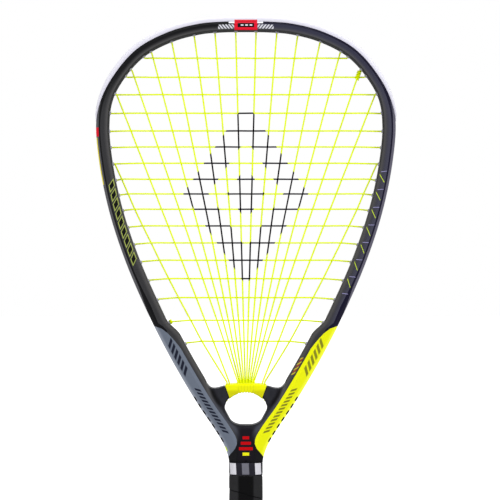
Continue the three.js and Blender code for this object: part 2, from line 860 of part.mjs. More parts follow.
function crossPath() {
  const start = tailDistances.start;
  const points = [knotEnd(start, 1, rowOffset), ...outsideLoop(start, crossDistances[0], 1, rowOffset)];
  crossDistances.forEach((distance, cross) => {
    const toLeft = cross % 2 === 0;
    const passed = crossCrossings(cross);
    points.push(...(toLeft ? passed.reverse() : passed));
    const side = toLeft ? -1 : 1;
    const next = crossDistances[cross + 1];
    if (next) points.push(...outsideLoop(distance, next, side, rowOffset));
    else points.push(...outsideLoop(distance, tailDistances.end, side, rowOffset, -rowOffset));
  });
  return [...points, knotEnd(tailDistances.end, -1, -rowOffset)];
}

function tube(points) {
  const depthAxis = new THREE.Vector3(0, 1, 0);
  const circle = Array.from({ length: stringSides }, (_, i) => {
    const angle = 2 * Math.PI * i / stringSides;
    return new THREE.Vector2(stringRadius * Math.cos(angle), stringRadius * Math.sin(angle));
  });
  const rings = points.map((point, i) => {
    const before = points[Math.max(i - 1, 0)];
    const after = points[Math.min(i + 1, points.length - 1)];
    const into = point.clone().sub(before).normalize();
    const onward = after.clone().sub(point).normalize();
    const heading = into.add(onward).normalize();
    const across = heading.clone().cross(depthAxis).normalize();
    const back = across.clone().cross(heading);
    return circle.map(({ x, y }) => point.clone().addScaledVector(across, x).addScaledVector(back, y));
  });
  return solid(loft(rings, circle));
}

function knot(point) {
  const lump = new THREE.IcosahedronGeometry(knotRadius, 0);
  lump.translate(point.x, point.y, point.z);
  return solid(lump);
}

// Least space between parts of one string that lie more than a few diameters apart along it
function leastGap(points) {
  const samples = [];
  let run = 0;
  points.forEach((point, i) => {
    if (i === 0) return;
    const before = points[i - 1];
    const length = point.distanceTo(before);
    const count = Math.ceil(length / stringDiameter);
    for (let k = 0; k < count; k += 1) {
      samples.push({ at: before.clone().lerp(point, k / count), run: run + length * k / count });
    }
    run += length;
  });
  let least = Infinity;
  samples.forEach((a, i) => {
    for (let k = i + 1; k < samples.length; k += 1) {
      if (samples[k].run - a.run > 5 * stringDiameter) least = Math.min(least, a.at.distanceTo(samples[k].at));
    }
  });
  return least - stringDiameter;
}

function makeString(name, points) {
  console.log(`${name}: least gap to itself ${leastGap(points).toFixed(2)} mm`);
  return union([tube(points), knot(points[0]), knot(points.at(-1))]);
}

// Handle

const pocketHalfX = legPairHalf + gap;
const pocketHalfY = legHalfDepth + gap;
const collarBottom = handleLength - collarHeight;
const palletEnd = cordSpaceTop + palletClearance;
const legEnd = palletEnd + legClearance;

// The flat of a pallet's face holds the staples, whose legs end before the frame's.
const palletFlatHalf = palletHalfX - octagonShare * palletHalfY;
const stapleCrown = palletFlatHalf - 2 * stapleMargin;
const stapleLeg = palletHalfY - pocketHalfY - 2 * gap;
const capStapleHeight = (palletEnd + skirtTop) / 2;
const gripStapleHeight = handleLength - collarHeight / 2;

// A staple with its crown just under a flat front face, its two legs running inwards
function staple(x, z, face, side, margin) {
  const half = stapleCrown / 2;
  const wire = stapleWire;
  const back = faceBox(x - half, x + half, face - wire, face, z - wire / 2, z + wire / 2, side, margin);
  const legs = [x - half, x + half - wire].map((left) => (
    faceBox(left, left + wire, face - stapleLeg, face, z - wire / 2, z + wire / 2, side, margin)
  ));
  return union([back, ...legs]);
}

// A box between two distances from the middle plane, to the back for side 1 or the front for side -1
function faceBox(left, right, near, far, bottom, top, side, margin) {
  const front = side > 0 ? near - margin : -far - margin;
  const back = side > 0 ? far + margin : -near + margin;
  return box(left - margin, right + margin, front, back, bottom - margin, top + margin);
}

const capStaplePlaces = {
  front_left: [-1, -1], front_right: [1, -1], back_left: [-1, 1], back_right: [1, 1],
};

function capStaple([across, side], margin) {
  return staple(across * palletFlatHalf / 2, capStapleHeight, palletHalfY - gap, side, margin);
}

function capStapleSpaces() {
  return union(Object.values(capStaplePlaces).map((place) => capStaple(place, gap)));
}

const tapeHalfX = palletHalfX + gripFit + tapeThickness;
const tapeHalfY = palletHalfY + gripFit + tapeThickness;

function gripStaple(margin) {
  return staple(0, gripStapleHeight, tapeHalfY, -1, margin);
}

function makePallet(side) {
  const whole = octagonBlock(palletHalfX, palletHalfY, palletEnd, handleLength);
  const pocket = box(
    -pocketHalfX, pocketHalfX, -pocketHalfY, pocketHalfY, palletEnd - overrun, handleLength + overrun,
  );
  const bottom = palletEnd - overrun;
  const core = octagonBlock(palletHalfX - skirtWall - gap, palletHalfY - skirtWall - gap, bottom, skirtTop + gap);
  const rebate = octagonBlock(palletHalfX + overrun, palletHalfY + overrun, bottom, skirtTop + gap);
  const inner = side > 0 ? gap / 2 : -gripDepth;
  const outer = side > 0 ? gripDepth : -gap / 2;
  const half = box(-gripWidth, gripWidth, inner, outer, 0, overallLength);
  return whole.subtract(pocket).subtract(rebate.subtract(core)).intersect(half)
    .subtract(capStapleSpaces()).subtract(gripStaple(gap));
}

// Foam in the hollow of one leg, from its open end up to the collar
function makeCore(side) {
  const ends = [handleLength - coreDrop, legEnd].map((height) => legStation(legPairHalf, height));
  const stations = side > 0 ? ends : ends.map(mirrored);
  return sweep(stations, (station) => inset(hollowSection(station), gap));
}

function cylinder(radius, length) {
  return new THREE.CylinderGeometry(radius, radius, length, roundSides);
}

const pinLength = cordSpaceWidth + 2 * pinSeat;

function makeCap() {
  const halfX = gripHalfX + capFlareSide;
  const halfY = gripHalfY + capFlareFace;
  const levels = [
    [0, capEdgeInset], [capEdgeHeight, 0], [capShoulderHeight, capShoulderInset], [capFlangeHeight, capFlareSide],
  ];
  const rings = levels.map(([z, drawnIn]) => (
    octagon(halfX - drawnIn, halfY - drawnIn).map(({ x, y }) => new THREE.Vector3(x, y, z))
  ));
  const flange = solid(loft(rings, octagon(halfX, halfY)));
  const skirt = octagonBlock(palletHalfX, palletHalfY, capFlangeHeight - gap, skirtTop);
  const seat = octagonBlock(palletHalfX - skirtWall, palletHalfY - skirtWall, cordSpaceTop, skirtTop + overrun);
  const cordSpace = box(
    -cordSpaceWidth / 2, cordSpaceWidth / 2, -cordSpaceDepth / 2, cordSpaceDepth / 2, capFloor, skirtTop,
  );
  const pinHole = cylinder(pinRadius + gap, pinLength + 2 * gap);
  pinHole.rotateZ(Math.PI / 2);
  pinHole.translate(0, 0, pinHeight);
  const hole = cylinder(cordHoleRadius + eyeletWall + gap, 2 * skirtTop);
  const sink = cylinder(eyeletFlangeRadius + gap, 2 * (eyeletFlangeHeight + 2 * gap));
  hole.rotateX(Math.PI / 2);
  sink.rotateX(Math.PI / 2);
  return union([flange, skirt]).subtract(seat).subtract(cordSpace)
    .subtract(union([pinHole, hole, sink].map(solid))).subtract(capStapleSpaces());
}

function makeEyelet() {
  const bottom = gap;
  const flangeTop = bottom + eyeletFlangeHeight;
  const outer = cordHoleRadius + eyeletWall;
  const profile = [
    [cordHoleRadius, bottom], [eyeletFlangeRadius, bottom], [eyeletFlangeRadius, flangeTop],
    [outer, flangeTop], [outer, eyeletTop], [cordHoleRadius, eyeletTop], [cordHoleRadius, bottom],
  ].map(([radius, z]) => new THREE.Vector2(radius, z));
  const ring = new THREE.LatheGeometry(profile, roundSides);
  ring.rotateX(Math.PI / 2);
  return solid(ring);
}

function makePin() {
  const pin = cylinder(pinRadius, pinLength);
  pin.rotateZ(Math.PI / 2);
  pin.translate(0, 0, pinHeight);
  return solid(pin);
}

// Materials

function material(color, roughness, metalness = 0) {
  return new THREE.MeshStandardMaterial({ color, roughness, metalness });
}

const looks = {
  graphite: () => material(0x3f3f45, 0.35, 0.1),
  yoke: () => material(0x232328, 0.4),
  white: () => material(0xe6e6ee, 0.5),
  black: () => material(0x17171b, 0.55),
  yellow: () => material(0xf2f81a, 0.45),
  string: () => material(0xe2f23c, 0.35),
  grip: () => material(0x1c1c1e, 0.85),
  collar: () => material(0x141416, 0.6),
  tape: () => material(0x26262a, 0.7),
  pallet: () => material(0x8c8a80, 0.8),
  foam: () => material(0xd8c690, 0.95),
  steel: () => material(0xb8bac0, 0.3, 1),
  brass: () => material(0xb59a58, 0.35, 1),
};

// Assembly

const racket = new THREE.Group();

function addPiece(name, body, look) {
  const piece = new THREE.Mesh(geometryOf(body), look);
  piece.name = name;
  racket.add(piece);
}

addPiece('frame', makeFrame(), looks.graphite());
addPiece('throat_yoke', makeYoke(), looks.yoke());
addPiece('throat_insert', makeInsert(), looks.yellow());
addPiece('bumper_guard', makeBumper(), looks.white());
addPiece('grommet_strip_left', makeStrip(-1), looks.black());
addPiece('grommet_strip_right', makeStrip(1), looks.black());
addPiece('main_string', makeString('main string', mainPath()), looks.string());
addPiece('cross_string', makeString('cross string', crossPath()), looks.string());
addPiece('leg_core_left', makeCore(-1), looks.foam());
addPiece('leg_core_right', makeCore(1), looks.foam());
addPiece('pallet_front', makePallet(-1), looks.pallet());
addPiece('pallet_back', makePallet(1), looks.pallet());
addPiece('grip', octagonSleeve(
  gripHalfX, gripHalfY, gripWall, capFlangeHeight + gap, collarBottom - gap,
), looks.grip());
addPiece('finishing_tape', octagonSleeve(
  tapeHalfX, tapeHalfY, tapeThickness, collarBottom + tapeInset, handleLength - tapeInset,
).subtract(gripStaple(gap)), looks.tape());
addPiece('grip_staple', gripStaple(0), looks.steel());
addPiece('collar', octagonSleeve(
  gripHalfX, gripHalfY, collarWall, collarBottom, handleLength,
), looks.collar());
addPiece('butt_cap', makeCap(), looks.black());
for (const [name, place] of Object.entries(capStaplePlaces)) {
  addPiece(`cap_staple_${name}`, capStaple(place, 0), looks.steel());
}
addPiece('tether_pin', makePin(), looks.steel());
addPiece('tether_eyelet', makeEyelet(), looks.brass());

export default racket;
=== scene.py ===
"""Looks of a racquetball racket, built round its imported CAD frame.

Metres. +Z runs from the butt to the head, +X to the right, and the front of the strings looks to -Y.
"""

import math
from collections import Counter

import bmesh
import bpy
import numpy as np
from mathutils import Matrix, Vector
from mathutils.geometry import delaunay_2d_cdt
from mathutils.kdtree import KDTree


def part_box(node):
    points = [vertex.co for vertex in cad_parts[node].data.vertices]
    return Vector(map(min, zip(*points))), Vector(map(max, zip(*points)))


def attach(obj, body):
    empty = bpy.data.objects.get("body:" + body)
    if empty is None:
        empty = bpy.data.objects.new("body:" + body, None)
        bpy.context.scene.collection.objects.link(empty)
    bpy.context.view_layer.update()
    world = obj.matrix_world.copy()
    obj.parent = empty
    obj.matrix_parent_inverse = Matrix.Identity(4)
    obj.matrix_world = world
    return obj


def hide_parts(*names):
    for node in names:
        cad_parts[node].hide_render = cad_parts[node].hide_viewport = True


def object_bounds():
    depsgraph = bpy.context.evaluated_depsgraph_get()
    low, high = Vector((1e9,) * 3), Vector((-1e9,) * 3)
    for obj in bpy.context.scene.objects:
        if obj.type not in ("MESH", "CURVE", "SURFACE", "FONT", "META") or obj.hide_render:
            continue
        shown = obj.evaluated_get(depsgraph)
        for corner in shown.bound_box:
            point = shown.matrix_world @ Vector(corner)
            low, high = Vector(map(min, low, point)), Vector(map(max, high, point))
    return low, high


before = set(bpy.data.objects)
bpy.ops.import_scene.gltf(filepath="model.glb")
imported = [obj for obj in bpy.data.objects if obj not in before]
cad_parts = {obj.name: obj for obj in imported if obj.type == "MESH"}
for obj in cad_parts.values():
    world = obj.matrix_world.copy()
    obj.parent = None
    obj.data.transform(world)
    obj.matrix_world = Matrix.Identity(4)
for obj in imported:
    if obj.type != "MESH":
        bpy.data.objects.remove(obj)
cad_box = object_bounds()

# Frame, with the driving sizes of the CAD source
HEAD_HALF, NECK_HALF = 0.13275, 0.0151
LEG_END, CROWN = (corner.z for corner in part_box("frame"))
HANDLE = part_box("collar")[1].z
GAP = 0.0003
HOOP_WIDTHS = (0.0092, 0.011, 0.0119)
ARM_WIDTH, ARM_WIDTH_AT_THROAT = 0.0169, 0.0136
HOOP_HALF_DEPTH, ARM_HALF_DEPTH = 0.010, 0.0105
HOOP_BEVEL, ARM_BEVEL = (0.0034, 0.0035), (0.0102, 0.006)
CHANNEL_DEPTH, CHANNEL_HALF, CHANNEL_TRACE = 0.0027, 0.0029, 0.00008
CHANNEL_END, CHANNEL_RUN_OUT = 0.258, 0.008
STEP_LENGTH, RING_STEP = 0.017, 0.003
LEG_HALF, LEG_BEVEL = (0.010, 0.0075), 0.0014
EDGE_ROUNDING, BEVEL_ROUNDING, CHANNEL_ROUNDING, INNER_ROUNDING = 0.0012, 0.0009, 0.0003, 0.0019

# The widest place, the narrow crown, the arms' step and the bumper's end, as shares of the height from the
# collar to the crown
HEIGHT_SHARES = (0.766, 0.85, 0.266, 0.771)

# The outer edge: from the crown to the widest place, then down to the neck
CROWN_SHARES = [
    (0.16, 0.9966), (0.31, 0.9778), (0.523, 0.8957), (0.738, 0.7248), (0.9, 0.4487), (0.976, 0.2094), (1, 0),
]
ARM_SHARES = [
    (0.975, 0.8812), (0.9, 0.7389), (0.782, 0.5966), (0.627, 0.4543), (0.446, 0.312),
    (0.233, 0.1697), (0.112, 0.0992), (0.035, 0.0483), (0, 0.0052), (0, -0.0392),
]
PANEL_SHARES = [(0, 0), (0.07, 0.62), (0.17, 0.86), (0.55, 0.93), (0.85, 1), (0.95, 0.75), (1, 0.3)]

# Bumper guard, grommet strips and strings
BUMPER_THICKNESS, BUMPER_END_THICKNESS, BUMPER_TIP_THICKNESS = 0.00349, 0.0009, 0.0004
BUMPER_HALF, BUMPER_ROUNDING = 0.0072, 0.0014
BUMPER_SKIN, BUMPER_WRAP, BUMPER_END_WRAP, BUMPER_LIP = 0.0001, 0.00135, 0.0003, 0.00045
TIP_LENGTH, WRAP_LENGTH = 0.006, 0.05
STRIP_BACK, STRIP_HALF = CHANNEL_DEPTH - GAP, CHANNEL_HALF - GAP
STRIP_FACE = STRIP_BACK - 0.0008
GROOVE_HALF, STRIP_END_MARGIN = 0.002, 0.0034
BORE_RADIUS, BARREL_RADIUS, BARREL_REACH, BARREL_SIDES = 0.00095, 0.0015, 0.0013, 20
MAIN_TOP_SHARES = [0.068, 0.207, 0.348, 0.5, 0.638, 0.774]
SHARED_CROSSES = [3, 7]
CROSS_SHARES = [
    0.9152, 0.8721, 0.8325, 0.7904, 0.7502, 0.7138, 0.6768, 0.6405, 0.6071, 0.5724, 0.5345,
    0.4959, 0.4566, 0.4148, 0.3717, 0.3203, 0.2725,
]
END_DROPS = [(0.27, 0.0014), (0.33, 0.0012), (0.43, 0.0005), (0.5, 0.0)]
STRING_RADIUS, STRING_BEND, STRING_STEP = 0.0007, 0.00085, 0.009
WEAVE_HEIGHT, ROW_OFFSET = 0.00085, 0.0009
KNOT_RADIUS, KNOT_STRING, KNOT_STEPS = 2.05 * STRING_RADIUS, 0.96 * STRING_RADIUS, 12
MOUTH_CLEARANCE, CROSSING_MARGIN = 0.0009, 0.00125
NEAR_MOUTH = (0.0008, 0.0016, 0.004)
TIE_OFF_MAIN, TIE_OFF_CROSS = 6, 16
BRIDGE_PITCH, BRIDGE_ROW, BRIDGE_DROP, BRIDGE_RISE = 0.0013, 0.00115, 0.0006, 0.004
OUTER_BOW = 0.0046
OUTER_BOW_SHARES = [
    (0, 0), (0.19, 0.8), (0.4, 0.98), (0.5, 1), (0.62, 0.88), (0.78, 0.72), (0.86, 0.42), (1, 0),
]

# Throat
INSERT_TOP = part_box("throat_insert")[1].z
INSERT_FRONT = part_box("throat_insert")[0].y
THROAT_TOP = INSERT_TOP - 0.008
THROAT_HALF_WIDTH, THROAT_HALF_HEIGHT = 0.01885, 0.01455
THROAT_MIDDLE = THROAT_TOP - THROAT_HALF_HEIGHT
THROAT_BOTTOM = THROAT_MIDDLE - THROAT_HALF_HEIGHT
ROOF_LIFT, ROOF_END = 0.00075, 0.42
THROAT_SHOULDER = (0.0193, 0.0002)
THROAT_CORNERS, SILL_ROUNDING = [(0.0130, 0.0029), (0.0066, 0.0)], 0.03
YOKE_TOP = THROAT_TOP + 0.0035
CORNER_RISE = 0.009
YOKE_CORNER_SHARES = [(0.02, 0.19), (0.4, 0), (0.65, 0.05), (0.83, 0.37), (1, 1)]
YOKE_HALF_DEPTH, NECK_HALF_DEPTH, CORNER_HALF_DEPTH = 0.009, 0.01056, 0.0094
NECK_SLOPE = (THROAT_BOTTOM - 0.0085, THROAT_BOTTOM + 0.0015)
YOKE_GRID, YOKE_GRID_HALF, YOKE_GRID_TOP = 0.0012, 0.0384, 0.2385
CREASE_DEPTH, RIM_HEIGHT, RIM_ROLL, RIM_REACH = 0.0012, 0.0004, 0.0017, 0.003

# Where the yoke's forms come and go, each a start and a length: up the yoke, away from the arm's inner edge
# and away from the opening
CREASE_COMES, CREASE_GOES = (0.209, 0.008), (0.228, 0.007)
CREASE_NEAR, CREASE_FAR, WEB_NEAR, RIM_NEAR = (0.0, 0.0018), (0.0028, 0.0035), (-0.0012, 0.0045), (0.0, 0.002)
RIM_GOES = (RIM_REACH, 0.004)

BAR_TOP, BAR_HALF = THROAT_TOP + 0.0052, 0.0062
INSERT_HALF = THROAT_HALF_WIDTH + 0.00025
INSERT_FOOT = (THROAT_HALF_WIDTH - 0.00465, THROAT_TOP - 0.0064)
INSERT_SLOPE = (INSERT_HALF - INSERT_FOOT[0]) / (INSERT_TOP - INSERT_FOOT[1])
TONGUE_REACH, TONGUE_HALF_DEPTH, TONGUE_MARGIN = 0.0001, 0.0026, 0.0015
SADDLE_REACH, LID_ARCH = 0.0004, 0.0016
PAIR_OUTER = THROAT_HALF_WIDTH - 0.00195
PAIR_INNER = PAIR_OUTER - 0.002

# Handle
GRIP_HALF = (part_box("grip")[1].x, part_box("grip")[1].y)
OCTAGON_SHARE = 0.3
GRIP_PITCH, GRIP_LAP, GRIP_END = 0.026, 0.00045, 0.0015
COLLAR_ROLL, COLLAR_SINK, COLLAR_GROOVE, GROOVE_DEPTH = 0.0012, 0.0006, (0.0008, 0.0016), 0.0002
CAP_FLANGE, CAP_HOLE, CAP_SINK, CAP_BORE = 0.010, 0.0042, 0.0061, 0.0069
CAP_EDGE = [(0.86, 0.0), (0.94, 0.0002), (0.975, 0.0006), (0.993, 0.0012), (1.0, 0.0020)]
CAP_SHOULDER = [
    (0.0045, 0.0), (0.0065, 0.1), (0.0078, 0.3), (0.0089, 0.62), (0.0096, 0.86), (CAP_FLANGE, 1.0),
]
SKIRT_SINK, SKIRT_THICKNESS, SKIRT_FLOOR = 0.0018, 0.0011, 0.0121
EYELET_HOLE = 0.0032
EYELET_EDGE = [(-0.0005, 0), (-0.0001, 0.0002), (0, 0.0005), (-0.0002, 0.0008)]

# Paint on the frame, by height: the panels' inner edge and the black line's edges, measured inwards
PANEL_EDGE = [
    (0.1685, -0.001), (0.1701, 0.0018), (0.1725, 0.0066), (0.1746, 0.0098), (0.1772, 0.0121),
    (0.1810, 0.0129), (0.1905, 0.0128), (0.2023, 0.0122), (0.2192, 0.0124), (0.2405, 0.0125),
    (0.2590, 0.0123), (0.2675, 0.0105), (0.2746, 0.0082), (0.2800, 0.0052), (0.2850, -0.0005),
]
LINE_OUTER = [(0.285, 0.0), (0.300, 0.0006), (0.318, 0.0024), (0.466, 0.0024), (0.478, 0.0012), (0.490, 0.0)]
LINE_INNER = [
    (0.285, 0.0046), (0.300, 0.0054), (0.320, 0.0044), (0.340, 0.0039), (0.470, 0.0039), (0.500, 0.0034),
]
LINE_BESIDE_PANEL = [(0.256, 0.0002), (0.272, 0.0012), (0.285, 0.0046)]
FRAME_MARKS = ("run", "inwards", "inner", "panel", "line", "strip")

# Camera: its distance to the strings in pixels of the photograph, and how far a pixel reaches there
PHOTO_SIZE = 500
PHOTO_CENTRE = PHOTO_SIZE / 2
PIXEL, FOCAL_PIXELS = 0.000889, 2074
MIDDLE_COLUMN, TOP_ROW = 245.9, 17


def height_of(share):
    """Height of a share of the way from the collar to the crown."""
    return HANDLE + share * (CROWN - HANDLE)


def row_height(row):
    """Height of a row of the photograph, in the plane of the strings."""
    return cad_box[1].z - (row - TOP_ROW) * PIXEL


def ease(start, end, share):
    """From start to end, smoothly, while the share goes from 0 to 1."""
    t = np.clip(share, 0.0, 1.0)
    return start + (end - start) * t * t * (3 - 2 * t)


def past(value, start, length):
    """From 0 to 1, smoothly, over a length from a start."""
    return ease(0, 1, (value - start) / length)


def table(points, at):
    """The value at a place between the points of a table."""
    return float(np.interp(at, *zip(*points)))


def mirrored(points):
    """Points (x, z) of the right half carried to the left, in reverse."""
    return [(-x, z) for x, z in reversed(points)]


def run_along(line):
    """The distance along a line to each of its points."""
    return np.concatenate([[0], np.cumsum(np.linalg.norm(np.diff(line, axis=0), axis=1))])


def even(line, step):
    """The same line with points an even step apart."""
    line = np.asarray(line, float)
    run = run_along(line)
    places = np.linspace(0, run[-1], max(int(run[-1] / step), 2) + 1)
    return np.stack([np.interp(places, run, values) for values in line.T], axis=1)


def steps_between(start, end, step):
    return np.linspace(start, end, max(int(abs(end - start) / step), 1) + 1)


def turns_of(count):
    """Angles of a full turn, an even step apart."""
    return [2 * math.pi * k / count for k in range(count)]


def catmull_rom(points, per_span):
    """A smooth line through the points, centripetal."""
    points = np.asarray(points, float)
    padded = np.vstack([2 * points[0] - points[1], points, 2 * points[-1] - points[-2]])
    share = np.linspace(0, 1, per_span, endpoint=False)[:, None]
    spans = []
    for a, b, c, d in zip(padded, padded[1:], padded[2:], padded[3:]):
        knots = [max(np.linalg.norm(q - p), 1e-9) ** 0.5 for p, q in ((a, b), (b, c), (c, d))]
        before, here, after = knots
        leave = here * ((b - a) / before - (c - a) / (before + here) + (c - b) / here)
        arrive = here * ((c - b) / here - (d - b) / (here + after) + (d - c) / after)
        spans.append(
            b + leave * share + (3 * (c - b) - 2 * leave - arrive) * share**2
            + (2 * (b - c) + leave + arrive) * share**3
        )
    return np.vstack([*spans, points[-1:]])


def rounded(corners, steps=4):
    """A closed outline from corners (u, v, radius), each turned into a short arc."""
    points = np.array([c[:2] for c in corners], float)
    outline = []
    for i, (_, _, radius) in enumerate(corners):
        here, before, after = points[i], points[i - 1], points[(i + 1) % len(points)]
        into, out = before - here, after - here
        reach_in, reach_out = np.linalg.norm(into), np.linalg.norm(out)
        into, out = into / reach_in, out / reach_out
        half = math.acos(max(-1.0, min(1.0, float(into @ out)))) / 2
        reach = min(radius / max(math.tan(half), 1e-6), 0.45 * reach_in, 0.45 * reach_out)
        a, b = here + into * reach, here + out * reach
        for step in range(steps + 1):
            t = step / steps
            outline.append((1 - t) ** 2 * a + 2 * t * (1 - t) * here + t**2 * b)
    return outline


def both_faces(half):
    """A closed section from the corners of its back half, mirrored to the front."""
    return rounded(half + [(u, -v, r) for u, v, r in reversed(half)])


# Course of the frame

WIDEST, NARROW, STEP_BOTTOM, BUMPER_END = map(height_of, HEIGHT_SHARES)
STEP_TOP = STEP_BOTTOM + STEP_LENGTH


def right_course():
    """The right half of the outer edge as points (x, z) from the crown down."""
    crown = [(a * HEAD_HALF, WIDEST + up * (CROWN - WIDEST)) for a, up in CROWN_SHARES]
    arm = [(NECK_HALF + a * (HEAD_HALF - NECK_HALF), HANDLE + up * (WIDEST - HANDLE)) for a, up in ARM_SHARES]
    right = crown + arm
    line = catmull_rom([*mirrored(right), (0, CROWN), *right], 60)
    return line[len(line) // 2:]


COURSE = right_course()
RUN = run_along(COURSE)
TANGENT = np.gradient(COURSE, RUN, axis=0)
TANGENT /= np.linalg.norm(TANGENT, axis=1)[:, None]
ARM_LINE = [(x, z) for x, z in COURSE if z < STEP_TOP]


def width_at(height, edge):
    """The frame's width at a height, where its outer edge is so far from the middle."""
    crown_width, side_width, low_width = HOOP_WIDTHS
    if height >= WIDEST:
        return ease(side_width, crown_width, (height - WIDEST) / (NARROW - WIDEST))
    if height >= STEP_TOP:
        return ease(low_width, side_width, (height - STEP_TOP) / (WIDEST - STEP_TOP))
    if height < YOKE_TOP:
        arm = ease(ARM_WIDTH_AT_THROAT, ARM_WIDTH, (height - THROAT_MIDDLE) / (YOKE_TOP - THROAT_MIDDLE))
    else:
        arm = ease(ARM_WIDTH, low_width, (height - STEP_BOTTOM) / STEP_LENGTH)
    return ease(abs(edge), arm, (height - HANDLE) / (THROAT_BOTTOM - HANDLE))


class Station:
    """A place on the frame's outer edge, with its directions and the frame's sizes there."""

    def __init__(self, distance, side=1):
        x, z, tx, tz = (np.interp(distance, RUN, values) for values in (*COURSE.T, *TANGENT.T))
        self.distance = distance
        self.point = np.array([side * x, 0.0, z])
        self.along = np.array([side * tx, 0.0, tz])
        self.inward = np.array([side * tz, 0.0, -tx])
        on_arm = (STEP_TOP - z) / (STEP_TOP - HANDLE)
        panel = table(PANEL_SHARES, on_arm) if on_arm > 0 else 0.0
        step = (z - STEP_BOTTOM) / STEP_LENGTH
        self.width = width_at(z, x)
        self.half_depth = ease(ARM_HALF_DEPTH, HOOP_HALF_DEPTH, step)
        self.bevel = HOOP_BEVEL[0] + (ARM_BEVEL[0] - HOOP_BEVEL[0]) * panel
        self.drop = ease(ARM_BEVEL[1], HOOP_BEVEL[1], step)
        along_channel = (z - CHANNEL_END + CHANNEL_RUN_OUT) / CHANNEL_RUN_OUT
        self.channel = ease(CHANNEL_TRACE, CHANNEL_DEPTH, along_channel)
        self.rounding = ease(CHANNEL_TRACE, INNER_ROUNDING, (z - HANDLE) / (THROAT_BOTTOM - HANDLE))

    def at(self, inwards, back, forward=0.0):
        return self.point + self.inward * inwards + self.along * forward + np.array([0, back, 0])

    def ring(self, section):
        return [self.at(u, v) for u, v in section]

    def mouth(self, row, beyond=MOUTH_CLEARANCE):
        """The place of a string beyond the mouth of a barrel."""
        return self.at(self.width + BARREL_REACH + beyond, row)


def distance_where(measure):
    """Distance from the crown at which a measure of the right half falls to zero."""
    near, far = 0.0, RUN[-1]
    for _ in range(40):
        middle = (near + far) / 2
        if measure(Station(middle)) > 0:
            near = middle
        else:
            far = middle
    return near


def distance_at(height):
    return distance_where(lambda s: s.point[2] - height)


NECK_END = distance_at(HANDLE + 0.0006)


def leg_station(half, height, half_depth, side):
    """A place on a leg in the handle, where the tube is square-edged and runs straight down."""
    station = Station(RUN[-1], side)
    station.point = np.array([side * half, 0.0, height])
    station.along, station.inward = np.array([0, 0, -1.0]), np.array([-side, 0, 0.0])
    station.width, station.half_depth = half, half_depth
    station.bevel = station.drop = LEG_BEVEL
    station.channel = station.rounding = CHANNEL_TRACE
    return station


# Mesh building

class Shape:
    """A mesh in the making: closed skins, each vertex with marks that a material reads."""

    def __init__(self, marks=()):
        self.points, self.faces, self.looks, self.marks = [], [], [], {name: [] for name in marks}

    def add(self, face, look=0):
        self.faces.append(tuple(face))
        self.looks.append(look)

    def loft(self, rings, look=0, closed=False, marks=None):
        """Joins rings of points into a skin. The marks are one table of values for each ring."""
        start, count = len(self.points), len(rings[0])
        for index, ring in enumerate(rings):
            self.points.extend(ring)
            for name, values in self.marks.items():
                values.extend(marks[index][name] if marks else [0.0] * count)
        for i in range(len(rings) if closed else len(rings) - 1):
            a, b = start + i * count, start + (i + 1) % len(rings) * count
            for k in range(count):
                n = (k + 1) % count
                self.add((a + k, a + n, b + n, b + k), look)
        if not closed:
            self.add((start + k for k in reversed(range(count))), look)
            self.add((start + (len(rings) - 1) * count + k for k in range(count)), look)

    def plate(self, flat, triangles, fronts, backs):
        """A closed plate: flat points (x, z) in triangles, and depths in front and behind."""
        start, count = len(self.points), len(flat)
        for depths in (fronts, backs):
            self.points.extend((x, depth, z) for (x, z), depth in zip(flat, np.broadcast_to(depths, count)))
        used = Counter()
        for corners in triangles:
            self.add(start + i for i in corners)
            self.add(start + count + i for i in reversed(corners))
            used.update(tuple(sorted(edge)) for edge in zip(corners, (*corners[1:], corners[0])))
        for (a, b), times in used.items():
            if times == 1:
                self.add((start + a, start + b, start + count + b, start + count + a))

    def prism(self, outline, front, back):
        """A closed plate: an outline (x, z) between two depths."""
        count = len(outline)
        points, face = [Vector(p) for p in outline], list(range(count))
        made = delaunay_2d_cdt(points, ring_edges(count), [face], 1, 1e-9)
        self.plate([tuple(p) for p in made[0]], made[2], front, back)

    def build(self, name, *materials, angle=35):
        mesh = bpy.data.meshes.new(name)
        mesh.from_pydata([tuple(map(float, p)) for p in self.points], [], self.faces)
        mesh.polygons.foreach_set("material_index", self.looks)
        for mark, values in self.marks.items():
            add_mark(mesh, mark, values)
        for material in materials:
            mesh.materials.append(material)
        face_out(mesh)
        mesh.shade_smooth()
        mesh.set_sharp_from_angle(angle=math.radians(angle))
        obj = bpy.data.objects.new(name, mesh)
        bpy.context.scene.collection.objects.link(obj)
        return obj


def ring_edges(count, start=0):
    return [(start + i, start + (i + 1) % count) for i in range(count)]


def add_mark(mesh, name, values):
    mesh.attributes.new(name, "FLOAT", "POINT").data.foreach_set("value", values)


def face_out(mesh):
    """Turns each closed skin of a mesh so that its faces look outwards."""
    work = bmesh.new()
    work.from_mesh(mesh)
    bmesh.ops.recalc_face_normals(work, faces=work.faces)
    work.to_mesh(mesh)
    work.free()


def softened(obj, voxel, rounds):
    """Joins an object's skins into one, in voxels of a size, and smooths it in so many rounds."""
    remesh = obj.modifiers.new("remesh", "REMESH")
    remesh.mode, remesh.voxel_size, remesh.use_smooth_shade = "VOXEL", voxel, True
    smooth = obj.modifiers.new("smooth", "SMOOTH")
    smooth.factor, smooth.iterations = 0.5, rounds
    mesh = bpy.data.meshes.new_from_object(obj.evaluated_get(bpy.context.evaluated_depsgraph_get()))
    obj.modifiers.clear()
    mesh.materials.clear()
    mesh.materials.append(obj.data.materials[0])
    mesh.shade_smooth()
    obj.data = mesh
    return obj


def lofted(name, material, rings, angle, closed=False):
    shape = Shape()
    shape.loft(rings, closed=closed)
    return shape.build(name, material, angle=angle)


